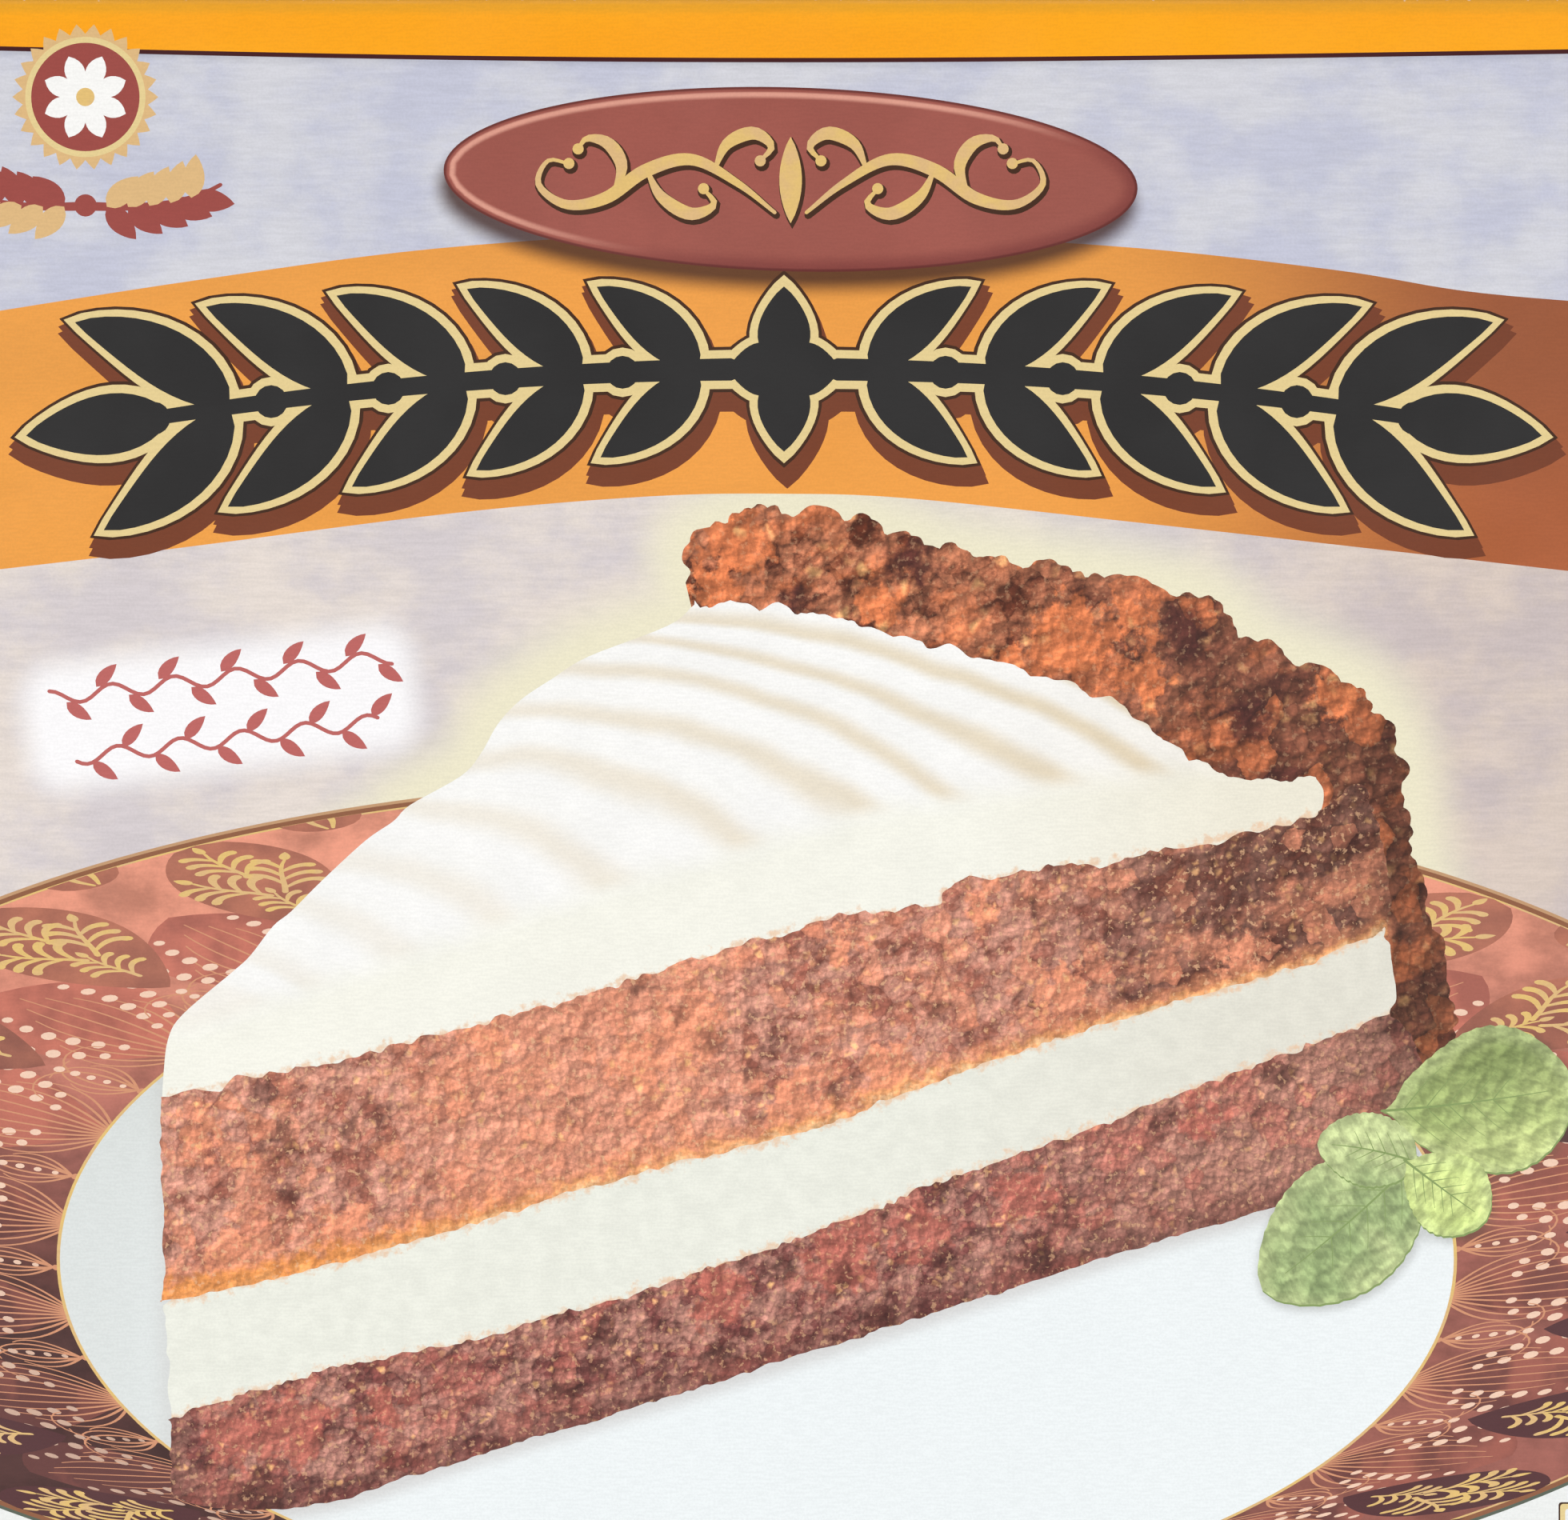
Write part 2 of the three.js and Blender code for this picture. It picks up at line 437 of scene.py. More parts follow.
def sheetPlace(tree, scale=(1.0, 1.0), shift=(0.0, 0.0), turn=0.0):
    # The place on the flat artwork in millimetres, turned, scaled and shifted.
    where = addNode(tree, "ShaderNodeUVMap", {"uv_map": "artwork"}).outputs[0]
    if turn:
        where = addNode(tree, "ShaderNodeMapping", None, {
            "Vector": where, "Rotation": (0.0, 0.0, math.radians(turn)),
        }).outputs[0]
    return addNode(tree, "ShaderNodeMapping", None, {
        "Vector": where, "Scale": (scale[0], scale[1], 1.0), "Location": (shift[0], shift[1], 0.0),
    }).outputs[0]


def placeXY(tree):
    # How far right and up on the flat artwork, in millimetres.
    return addNode(tree, "ShaderNodeSeparateXYZ", None, {0: sheetPlace(tree)}).outputs[:2]


def cloud(tree, perMm, detail=2.0, stretch=(1.0, 1.0), shift=0.0, roughness=0.5, turn=0.0, nudge=0.0):
    # Soft noise between 0 and 1 with perMm blotches to a millimetre. nudge moves it down to the right.
    moved = (shift - nudge * perMm, 3.7 * shift + nudge * perMm)
    where = sheetPlace(tree, (perMm * stretch[0], perMm * stretch[1]), moved, turn)
    settings = {"noise_dimensions": "2D"}
    values = {"Vector": where, "Scale": 1.0, "Detail": detail, "Roughness": roughness}
    return addNode(tree, "ShaderNodeTexNoise", settings, values).outputs[0]


def relief(tree, perMm, dark, light, shift, roughness=0.6, stretch=(1.0, 1.0), turn=0.0):
    # Small lumps lit from the upper left: the noise here, less the same noise moved towards the light.
    here = cloud(tree, perMm, 4.0, stretch, shift, roughness, turn)
    beside = cloud(tree, perMm, 4.0, stretch, shift, roughness, turn, nudge=-0.26 / perMm)
    return fade(tree, minus(tree, here, beside), -0.16, 0.16, dark, light)


def cells(tree, perMm, output="Distance", feature="F1", shift=0.0, wander=0.0, nudge=0.0):
    # Cells with perMm of them to a millimetre: how far each point is from its cell's middle.
    where = sheetPlace(tree, (perMm, perMm), (shift - nudge * perMm, 1.9 * shift + nudge * perMm))
    if wander:
        flat = {"noise_dimensions": "2D"}
        bend = addNode(tree, "ShaderNodeTexNoise", flat, {"Vector": where, "Scale": 1.7})
        where = mixed(tree, wander, where, bend.outputs[1])
    settings = {"voronoi_dimensions": "2D", "feature": feature}
    return addNode(tree, "ShaderNodeTexVoronoi", settings, {"Vector": where, "Scale": 1.0}).outputs[output]


def grains(tree, perMm, shift, wander=0.3):
    # A shade and a hue from 0 to 1 that are each grain's own, and how near each point is to its edge.
    tints = cells(tree, perMm, "Color", shift=shift, wander=wander)
    shade, hue = addNode(tree, "ShaderNodeSeparateColor", None, {0: tints}).outputs[:2]
    return shade, hue, cells(tree, perMm, shift=shift, feature="DISTANCE_TO_EDGE", wander=wander)


def lumps(tree, perMm, dark, light, shift, wander=0.3):
    # Round grains lit from the upper left: how much nearer to its grain's middle each point is than
    # the point beside it that is closer to the light.
    here = cells(tree, perMm, shift=shift, wander=wander)
    beside = cells(tree, perMm, shift=shift, wander=wander, nudge=-0.2 / perMm)
    return fade(tree, minus(tree, beside, here), -0.24, 0.24, dark, light)


def holes(tree, perMm, largest, shift):
    # Dark round holes: each cell has one, and its random number sets the size. 1 in the middle of a hole.
    apart = cells(tree, perMm, shift=shift, wander=0.5)
    tints = cells(tree, perMm, "Color", shift=shift, wander=0.5)
    chance = addNode(tree, "ShaderNodeSeparateColor", None, {0: tints}).outputs[2]
    radius = fade(tree, chance, 0.5, 1.0, -0.12, largest)
    return fade(tree, minus(tree, radius, apart), -0.1, 0.12)


def newMaterial(name):
    # A bare material, its node tree and its shader.
    material = bpy.data.materials.new(name)
    material.use_nodes = True
    return material, material.node_tree, material.node_tree.nodes["Principled BSDF"]


def inkOn(name, colour):
    # The finish that every ink shares: print grain, board fibres, satin varnish and worn folds.
    material, tree, shader = newMaterial(name)
    colour = colour(tree) if callable(colour) else paint(*colour)
    grain = mixed(tree, 0.5, cloud(tree, 2.6, 1.0), cloud(tree, 1.1, 2.0, (0.35, 2.6)))
    grain = fade(tree, grain, 0.3, 0.7, finish["grainDark"], finish["grainLight"])
    colour = shaded(tree, colour, grain)
    worn = times(tree, fieldOf(tree, "foldNear"), cloud(tree, 0.9, 3.0, shift=31.0))
    colour = tinted(tree, fade(tree, worn, 0.52, 0.7, 0.0, finish["wear"]), colour, finish["core"])
    tree.links.new(colour, shader.inputs["Base Color"])
    gloss = fade(tree, cloud(tree, 0.05, 3.0, shift=7.0), 0.3, 0.7, *finish["roughness"])
    tree.links.new(gloss, shader.inputs["Roughness"])
    fibres = mixed(tree, 0.5, cloud(tree, 1.6, 2.0, (0.5, 1.6), 11.0), cloud(tree, 0.05, 2.0, shift=5.0))
    bump = addNode(tree, "ShaderNodeBump", None, {
        "Strength": finish["fibreStrength"], "Distance": finish["fibreHeight"] * mm, "Height": fibres,
    })
    tree.links.new(bump.outputs[0], shader.inputs["Normal"])
    shader.inputs["Specular IOR Level"].default_value = finish["gloss"]
    return material


finish = {
    "haze": 0.014,               # light that the varnish adds to every colour
    "grainDark": 0.955,
    "grainLight": 1.03,
    "roughness": (0.36, 0.5),
    "gloss": 0.4,
    "fibreStrength": 0.35,
    "fibreHeight": 0.05,
    "wear": 0.8,
    "core": (238, 233, 224),     # pale board where the ink has cracked off a fold
}

colours = {
    "lilacHigh": (212, 212, 219),
    "lilacLow": (229, 218, 210),
    "lilacRight": (218, 202, 191),
    "lilacCool": (236, 238, 250),
    "halo": (238, 232, 203),
    "glow": (250, 248, 249),
    "band": (251, 164, 10),
    "bandLine": (70, 30, 35),
    "swooshLeft": (236, 160, 76),
    "swooshMiddle": (238, 160, 76),
    "swooshRight": (158, 92, 62),
    "swooshRightLow": (174, 98, 62),
    "plaque": (160, 90, 80),
    "plaqueLight": (222, 158, 140),
    "plaqueDark": (122, 60, 58),
    "black": (51, 50, 50),
    "cream": (230, 207, 148),
    "shade": (122, 68, 48),
    "edge": (72, 48, 36),
    "gold": (228, 192, 120),
    "paleGold": (222, 184, 130),
    "brick": (158, 78, 72),
    "dustyRed": (190, 104, 100),
    "rim": (176, 110, 98),
    "rimLight": (222, 148, 124),
    "rimLow": (84, 58, 56),
    "leafRed": (204, 122, 104),
    "leafDark": (108, 69, 66),
    "vein": (212, 150, 116),
    "purple": (92, 60, 62),
    "purpleHigh": (188, 120, 98),
    "dot": (242, 206, 182),
    "plateWhite": (238, 243, 244),
    "plateShade": (214, 218, 215),
    "plateEdge": (146, 98, 72),
    "footLine": (196, 154, 116),
    "footLineLow": (96, 104, 92),
    "footWhite": (236, 238, 236),
    "icing": (248, 247, 244),
    "icingFace": (245, 244, 233),
    "icingRight": (246, 240, 230),
    "ridge": (230, 216, 190),
    "filling": (236, 237, 226),
    "fillingRight": (228, 225, 212),
    "mintVein": (138, 158, 100),
}


def groundColour(tree):
    # Lilac that turns warm lower down and to the right, with soft blotches and fine streaks.
    x, y = placeXY(tree)
    colour = tinted(tree, fade(tree, y, 76, 54), printed("lilacHigh"), "lilacLow")
    right = spans(tree, (x, 45, 105), (y, 80, 55))
    colour = tinted(tree, right, colour, "lilacRight")
    blotch = fade(tree, cloud(tree, 0.045, 6.0, (1.0, 1.3), 2.0, 0.62), 0.36, 0.66)
    colour = tinted(tree, blotch, colour, "lilacCool", "MULTIPLY")
    streak = fade(tree, cloud(tree, 0.5, 4.0, (0.25, 2.2), 9.0), 0.35, 0.65, 0.97, 1.025)
    colour = shaded(tree, colour, streak)
    near = fieldOf(tree, "sliceNear")
    colour = tinted(tree, fade(tree, near, 9.5, 19.0, 0.0, 0.95), colour, "halo")
    colour = tinted(tree, fade(tree, fieldOf(tree, "patchNear"), 4.0, 10.8), colour, "glow")
    shade = fade(tree, fieldOf(tree, "bandNear"), 8.2, 10.0, 1.0, 0.82)
    return underPlaque(tree, shaded(tree, colour, shade))


def frontGround(tree):
    # The white foot of the main panel runs on round the front fold, and fades into the lilac.
    y = placeXY(tree)[1]
    uneven = times(tree, cloud(tree, 0.06, 4.0, shift=33.0), 9.0)
    white = fade(tree, plus(tree, y, uneven), 74.0, 84.0)
    return tinted(tree, white, groundColour(tree), "footWhite")


def underPlaque(tree, colour):
    # The soft drop shadow of the oval plaque.
    shade = fade(tree, fieldOf(tree, "plaqueShade"), 7.8, 11.6, 0.0, 0.92)
    return tinted(tree, shade, colour, (78, 50, 42))


def bandColour(tree):
    # Bright orange with faint long streaks, a little greener where it nears the hinge fold.
    y = placeXY(tree)[1]
    high = fade(tree, cloud(tree, 0.02, 2.0, (0.4, 2.0), 4.0), 0.35, 0.65)
    colour = tinted(tree, high, printed("band"), (255, 172, 24))
    return tinted(tree, fade(tree, y, 128.6, 130.2, 0.0, 0.25), colour, (170, 150, 60))


def swooshColour(tree):
    # Orange that deepens to a burnt brown at the right, a little lighter below.
    x, y = placeXY(tree)
    left = tinted(tree, fade(tree, x, -110, 10), printed("swooshLeft"), "swooshMiddle")
    right = tinted(tree, fade(tree, y, 80, 50), printed("swooshRight"), "swooshRightLow")
    colour = mixed(tree, fade(tree, x, 38, 112), left, right)
    warm = fade(tree, cloud(tree, 0.03, 3.0, (0.5, 1.8), 6.0), 0.35, 0.65, 0.965, 1.035)
    return underPlaque(tree, shaded(tree, colour, warm))


def plaqueColour(tree):
    # Brick red with a bevel: a light line inside the upper left rim and a dark one at the lower right.
    x, y = placeXY(tree)
    near = fieldOf(tree, "plaqueNear")
    slant = minus(tree, times(tree, y, 0.05), times(tree, x, 0.012))
    upper = fade(tree, slant, 4.85, 5.55)
    line = spans(tree, (near, 10.6, 11.0), (near, 11.9, 11.2))
    blotch = fade(tree, cloud(tree, 0.06, 3.0, shift=8.0), 0.35, 0.65, 0.96, 1.04)
    colour = shaded(tree, printed("plaque"), blotch)
    colour = tinted(tree, times(tree, line, upper), colour, "plaqueLight")
    lower = spans(tree, (near, 13.0, 10.4), (slant, 5.2, 4.6))
    colour = tinted(tree, times(tree, lower, 0.7), colour, "plaqueDark")
    return tinted(tree, fade(tree, near, 10.55, 10.2, 0.0, 0.8), colour, (96, 46, 44))


def rimColour(tree):
    # The plate's red rim: lighter towards its top, darker and browner at the lower left.
    x, y = placeXY(tree)
    colour = tinted(tree, fade(tree, y, -45, 0), printed("rim"), "rimLight")
    low = spans(tree, (y, -28, -72), (x, 110, -30, 0.3, 1.0))
    colour = tinted(tree, low, colour, "rimLow")
    blotch = fade(tree, cloud(tree, 0.1, 5.0, (0.8, 1.3), 13.0, 0.6), 0.3, 0.7, 0.72, 1.2)
    return underMint(tree, shaded(tree, colour, blotch))


def footLineColour(tree):
    # The plate's outermost line: tan along the top, and a greenish shadow below.
    y = placeXY(tree)[1]
    return tinted(tree, fade(tree, y, -45, -85), printed("footLine"), "footLineLow")


def underMint(tree, colour):
    # The soft drop shadow of the sprig.
    return tinted(tree, fade(tree, fieldOf(tree, "mintNear"), 3.4, 5.6, 0.0, 0.36), colour, (96, 86, 70))


def plateColour(tree):
    # White china, greyer towards its back and its left, with the slice's soft shadow on it.
    x, y = placeXY(tree)
    colour = tinted(tree, fade(tree, y, -65, -15), printed("plateWhite"), "plateShade")
    colour = tinted(tree, fade(tree, x, -60, -106, 0.0, 0.7), colour, "plateShade")
    shade = spans(tree, (fieldOf(tree, "sliceNear"), 16.8, 20.0), (x, -99, -80, 0.1, 0.36))
    return underMint(tree, tinted(tree, shade, colour, (168, 150, 142)))


def icingColour(tree):
    # White icing with combed ridges. The tan line behind each ridge is soft, and darker at its end.
    x, y = placeXY(tree)
    wander = times(tree, minus(tree, cloud(tree, 0.06, 2.0, shift=17.0), 0.5), 0.3)
    phase = calc(tree, "FRACT", plus(tree, plus(tree, fieldOf(tree, "ridgePhase"), wander), 0.5))
    onTop = fieldOf(tree, "ridgeFade")
    line = spans(tree, (phase, 0.12, 0.5), (phase, 0.8, 0.52), (onTop, 0.1, 0.8),
                 (plus(tree, x, y), -95.0, 80.0, 0.24, 0.95))
    shine = fade(tree, calc(tree, "ABSOLUTE", minus(tree, phase, 0.95)), 0.3, 0.05, 0.0, 0.6)
    colour = tinted(tree, onTop, printed("icingFace"), "icing")
    colour = tinted(tree, times(tree, shine, onTop), colour, (250, 249, 247))
    colour = tinted(tree, line, colour, "ridge")
    colour = tinted(tree, fade(tree, x, 20.0, 80.0, 0.0, 0.8), colour, "icingRight", "MULTIPLY")
    soft = fade(tree, cloud(tree, 0.12, 3.0, shift=21.0), 0.3, 0.7, 0.975, 1.01)
    return crumbFringe(tree, shaded(tree, colour, soft))


def fillingColour(tree):
    # Off-white that turns creamier to the right, with soft blotches.
    x = placeXY(tree)[0]
    colour = tinted(tree, fade(tree, x, 0, 90), printed("filling"), "fillingRight")
    soft = fade(tree, cloud(tree, 0.3, 4.0, shift=23.0), 0.3, 0.7, 0.965, 1.02)
    return crumbFringe(tree, shaded(tree, colour, soft))


crumb = {
    # shades of each layer: right is its colour there, and middle and foot are how strongly those shades show.
    # depth is how deep its creases look, and holes, deep and specks are how large or strong those are.
    "upper": {
        "dark": (164, 100, 84), "light": (222, 159, 138), "patch": (240, 155, 120), "right": (64, 38, 28),
        "middle": 0.6, "depth": 0.62, "holes": 0.3, "deep": 0.55, "specks": 0.6, "foot": 0.0,
    },
    "lower": {
        "dark": (122, 71, 68), "light": (194, 139, 124), "patch": (188, 108, 94), "right": (188, 134, 116),
        "middle": 0.0, "depth": 0.8, "holes": 0.36, "deep": 0.6, "specks": 0.45, "foot": 0.6,
    },
    "crust": {
        "dark": (98, 54, 42), "light": (208, 132, 98), "patch": (226, 130, 84), "right": (112, 70, 58),
        "middle": 0.0, "depth": 1.0, "holes": 0.42, "deep": 0.74, "specks": 0.22, "foot": 0.0,
    },
    "middle": (238, 160, 128),
    "pit": (84, 50, 47),
    "foot": (106, 64, 60),
    "golden": (248, 192, 128),
    "speck": (236, 186, 144),
    "fringe": (236, 196, 160),
    "bakedEdge": (
        # start and end of each tone, how strong it gets, and the tone
        (6.5, 10.9, 0.5, (224, 146, 106)),
        (11.2, 13.6, 0.8, (240, 168, 112)),
        (13.4, 15.8, 0.8, (250, 202, 150)),
    ),
    "bakedLeft": (232, 148, 78),
    "slope": -24.0,              # the layers rise by this many degrees
    "fine": 2.7,                 # the fine grains to each coarse one
    "carrot": (
        # middle and size of the larger pieces of carrot
        (-14.5, -24.9, 5.0), (-21.8, -29.8, 4.0), (15.7, -31.0, 4.0), (2.4, -35.8, 4.0), (-82.3, -60.0, 5.0),
        (-66.6, -55.2, 4.0), (-88.4, -40.7, 3.0), (-45.0, -27.0, 3.0), (8.5, -11.5, 2.5), (30.3, -6.0, 2.5),
        (42.4, -18.9, 3.5), (69.0, -14.0, 3.0), (-73.9, -85.5, 5.0), (-83.0, -86.7, 4.0), (-60.6, -83.1, 3.0),
        (-9.7, -64.9, 4.0), (8.5, -58.9, 5.0), (20.6, -55.8, 3.5), (36.3, -50.4, 4.0), (63.0, -38.3, 3.0),
        (-7.3, 48.9, 4.5), (-10.9, 41.7, 3.5), (43.6, 34.4, 6.0), (53.3, 38.0, 3.0), (33.9, 30.8, 3.0),
        (54.5, 28.3, 3.5), (84.8, 25.9, 3.5), (14.5, 40.4, 3.0),
    ),
    "hollows": (
        # middle and size of the larger dark holes
        (-76.3, -41.9, 3.4), (-74.8, -49.2, 2.8), (-61.8, -38.3, 2.0), (-31.5, -37.1, 2.0), (60.6, 35.6, 4.6),
        (70.2, 22.3, 4.5), (19.4, 46.5, 4.0), (-9.7, -73.4, 3.0), (14.5, -68.5, 3.5), (38.8, -58.9, 4.0),
        (-33.9, -79.4, 3.0), (-78.7, -95.5, 4.6), (53.3, -17.7, 2.5), (38.8, -6.0, 2.2), (2.0, 40.5, 2.6),
    ),
}


def nearSpots(points, spots, reach=4.0):
    # The reach plus how deep a point lies inside the nearest spot.
    deep = [size - np.hypot(points[:, 0] - x, points[:, 1] - y) for x, y, size in spots]
    return np.maximum(np.max(deep, 0) + reach, 0)


def crumbShades(tree, tones, shift, grain, x, uneven):
    # Grains of many browns, with carrot and gold among them and creases round them.
    shade, hue, crease = grains(tree, grain, shift)
    fineShade, fineHue, fineCrease = grains(tree, crumb["fine"] * grain, shift + 6.0)
    turn = crumb["slope"]
    broad = fade(tree, cloud(tree, 0.2, 6.0, (0.8, 1.15), shift, 0.68, turn), 0.32, 0.68)
    shades = mixed(tree, 0.45, mixed(tree, 0.5, shade, fineShade), broad)
    made = tinted(tree, fade(tree, shades, 0.18, 0.82), paint(*tones["dark"]), tones["light"])
    centre = spans(tree, (x, -66, -40), (x, -2, -16))
    made = tinted(tree, times(tree, centre, tones["middle"]), made, crumb["middle"])
    made = tinted(tree, fade(tree, x, 22, 75, 0.0, 0.74), made, tones["right"])
    patch = fade(tree, cloud(tree, 0.08, 5.0, (0.7, 1.4), shift + 40.0, 0.62, turn), 0.5, 0.7, 0.0, 0.6)
    patch = calc(tree, "MAXIMUM", patch, fade(tree, hue, 0.72, 0.9, 0.0, 0.5))
    piece = plus(tree, fieldOf(tree, "carrot"), times(tree, uneven, 12.0))
    carrot = fade(tree, piece, 8.6, 10.8, 0.0, 0.85)
    made = tinted(tree, calc(tree, "MAXIMUM", patch, carrot), made, tones["patch"])
    golden = spans(tree, (fineHue, 0.76, 1.0), (fineCrease, 0.0, 0.4), (x, 10, 75, 1.0, 0.6),
                   (cloud(tree, 0.25, 3.0, shift=shift), 0.4, 0.62, 0.1, 0.7))
    made = tinted(tree, golden, made, crumb["golden"])
    depth = tones["depth"]
    dented = spans(tree, (crease, 0.0, 0.2, 1 - 0.2 * depth, 1 + 0.05 * depth),
                   (fineCrease, 0.0, 0.2, 1 - 0.14 * depth, 1 + 0.04 * depth))
    return mixed(tree, fade(tree, piece, 8.6, 10.8, 1.0, 0.4), made, dented, "MULTIPLY")


def crumbEdges(tree, made, x, uneven):
    # The baked foot of the upper layer: three tones, each closer to the edge, and a deep one at the left.
    baked = plus(tree, fieldOf(tree, "bakedEdge"), times(tree, uneven, 10.0))
    for start, end, most, tone in crumb["bakedEdge"]:
        made = tinted(tree, fade(tree, baked, start, end, 0.0, most), made, tone)
    left = spans(tree, (baked, 9.0, 12.5), (x, -25.0, -75.0, 0.0, 0.75))
    return tinted(tree, left, made, crumb["bakedLeft"])


def crumbColour(tones, shift, grain):
    # Cake crumb: its shades, a darker foot, dark holes, baked edges, lumps in the light and pale specks.
    def colour(tree):
        x = placeXY(tree)[0]
        uneven = cloud(tree, 0.35, 4.0, shift=2.0, roughness=0.6)
        made = crumbShades(tree, tones, shift, grain, x, uneven)
        foot = plus(tree, fieldOf(tree, "sliceNear"), times(tree, uneven, 5.0))
        made = tinted(tree, fade(tree, foot, 28.5, 22.5, 0.0, tones["foot"]), made, crumb["foot"])
        pit = holes(tree, 0.62 * grain, tones["holes"], shift + 3.0)
        hollow = minus(tree, fieldOf(tree, "hollow"), times(tree, uneven, 9.0))
        pit = calc(tree, "MAXIMUM", pit, fade(tree, hollow, -1.6, 2.0, 0.0, 1.2))
        made = tinted(tree, times(tree, pit, tones["deep"]), made, crumb["pit"])
        made = crumbEdges(tree, made, x, uneven)
        depth = tones["depth"]
        made = shaded(tree, made, lumps(tree, grain, 1 - 0.26 * depth, 1 + 0.22 * depth, shift),
                      lumps(tree, crumb["fine"] * grain, 1 - 0.18 * depth, 1 + 0.16 * depth, shift + 6.0),
                      relief(tree, 0.85, 0.86, 1.13, shift + 9.0),
                      relief(tree, 0.3, 0.82, 1.16, shift + 19.0))
        speck = cloud(tree, 0.9, 3.0, shift=shift + 5.0, roughness=0.6)
        speck = fade(tree, speck, 0.58, 0.7, 0.0, tones["specks"])
        made = tinted(tree, speck, made, crumb["speck"])
        made = shaded(tree, made, fade(tree, x, 80, 95, 1.0, 0.6))
        return underMint(tree, made)
    return colour


def crumbFringe(tree, colour):
    # Crumbs that the knife drew into the white along the edge of a layer of cake.
    uneven = cloud(tree, 0.55, 4.0, shift=27.0, roughness=0.65)
    near = plus(tree, fieldOf(tree, "cakeNear"), times(tree, uneven, 5.0))
    return tinted(tree, fade(tree, near, 5.5, 6.9, 0.0, 0.75), colour, crumb["fringe"])


mintTones = {
    "puckers": 0.42,                 # to a millimetre
    "top": (112, 126, 78),           # where the leaves turn away from the light
    "edge": (204, 216, 156),
}


def mintColour(light, dark, shift, turn):
    # A crinkled leaf: small round puckers with darker folds between them, and a paler edge.
    def colour(tree):
        y = placeXY(tree)[1]
        broad = fade(tree, cloud(tree, 0.06, 3.0, (0.8, 1.2), shift, 0.5, turn), 0.3, 0.7, 0.15, 0.85)
        made = tinted(tree, broad, paint(*dark), light)
        made = tinted(tree, fade(tree, y, -37.0, -26.0, 0.0, 0.6), made, mintTones["top"])
        near = fieldOf(tree, "mintNear")
        made = tinted(tree, fade(tree, near, 5.2, 7.8, 0.4, 0.0), made, mintTones["edge"])
        crease = fade(tree, grains(tree, mintTones["puckers"], shift)[2], 0.0, 0.25, 0.89, 1.03)
        return shaded(tree, made, crease, lumps(tree, mintTones["puckers"], 0.84, 1.15, shift),
                      relief(tree, 0.6, 0.86, 1.13, shift, 0.6, (0.7, 1.2), turn),
                      relief(tree, 0.22, 0.9, 1.09, shift + 4.0))
    return colour


def goldColour(tree):
    # Two golds in soft blotches.
    patchy = fade(tree, cloud(tree, 0.2, 3.0, shift=3.0), 0.35, 0.65)
    return tinted(tree, patchy, printed("gold"), "paleGold")


def purpleColour(tree):
    # The dark panels of the plate's rim, which are lighter and redder towards its top.
    y = placeXY(tree)[1]
    blotch = fade(tree, cloud(tree, 0.12, 4.0, shift=19.0), 0.3, 0.7, 0.0, 0.35)
    tone = minus(tree, fade(tree, y, -54, -14), blotch)
    return underMint(tree, tinted(tree, tone, printed("purple"), "purpleHigh"))


def dotColour(tree):
    # The rim's dots, which are dimmer at the lower left.
    x, y = placeXY(tree)
    low = spans(tree, (y, -50, -90), (x, 40, -70, 0.0, 0.4))
    return tinted(tree, low, printed("dot"), "leafDark")


def leafColour(tree):
    # The red of the palmettes, darker in blotches and towards the lower left.
    x, y = placeXY(tree)
    blotch = fade(tree, cloud(tree, 0.1, 4.0), 0.35, 0.65, 0.0, 0.45)
    low = spans(tree, (y, -25, -75), (x, 110, -60, 0.5, 0.85))
    tone = plus(tree, low, blotch)
    return underMint(tree, tinted(tree, tone, printed("leafRed"), "leafDark"))


recipes = {
    "ground": groundColour, "frontGround": frontGround, "band": bandColour, "swoosh": swooshColour,
    "plaque": plaqueColour, "gold": goldColour, "rim": rimColour, "leaf": leafColour, "purple": purpleColour,
    "dot": dotColour, "plate": plateColour, "footLine": footLineColour, "icing": icingColour,
    "filling": fillingColour,
    "upperCake": crumbColour(crumb["upper"], 1.0, 0.42),
    "lowerCake": crumbColour(crumb["lower"], 60.0, 0.46),
    "crust": crumbColour(crumb["crust"], 90.0, 0.26),
    "mint": mintColour((212, 222, 152), (152, 170, 106), 2.0, 20.0),
    "mintLight": mintColour((220, 232, 156), (192, 212, 128), 5.0, -40.0),
    "mintLow": mintColour((208, 219, 160), (142, 164, 112), 9.0, 60.0),
    # the plain ones
    "white": colours["icing"], "foot": colours["footWhite"], "wallBand": colours["purple"],
}
for name in ("bandLine", "black", "cream", "shade", "edge", "paleGold", "brick", "dustyRed", "vein", "plateEdge",
             "mintVein"):
    recipes[name] = colours[name]
inks = {name: inkOn(name, recipe) for name, recipe in recipes.items()}


def rawBoardMaterial():
    # The uncoated back and the cut edge of the board: grey-buff with long fibres.
    material, tree, shader = newMaterial("raw board")
    flecks = fade(tree, cloud(tree, 0.8, 4.0, (0.4, 1.8)), 0.3, 0.7)
    colour = tinted(tree, flecks, paint(196, 184, 160), (222, 212, 192))
    tree.links.new(colour, shader.inputs["Base Color"])
    shader.inputs["Roughness"].default_value = 0.85
    return material


inks["rawBoard"] = rawBoardMaterial()
print("inks mixed:", len(inks))


# The slice of cake on the main panel

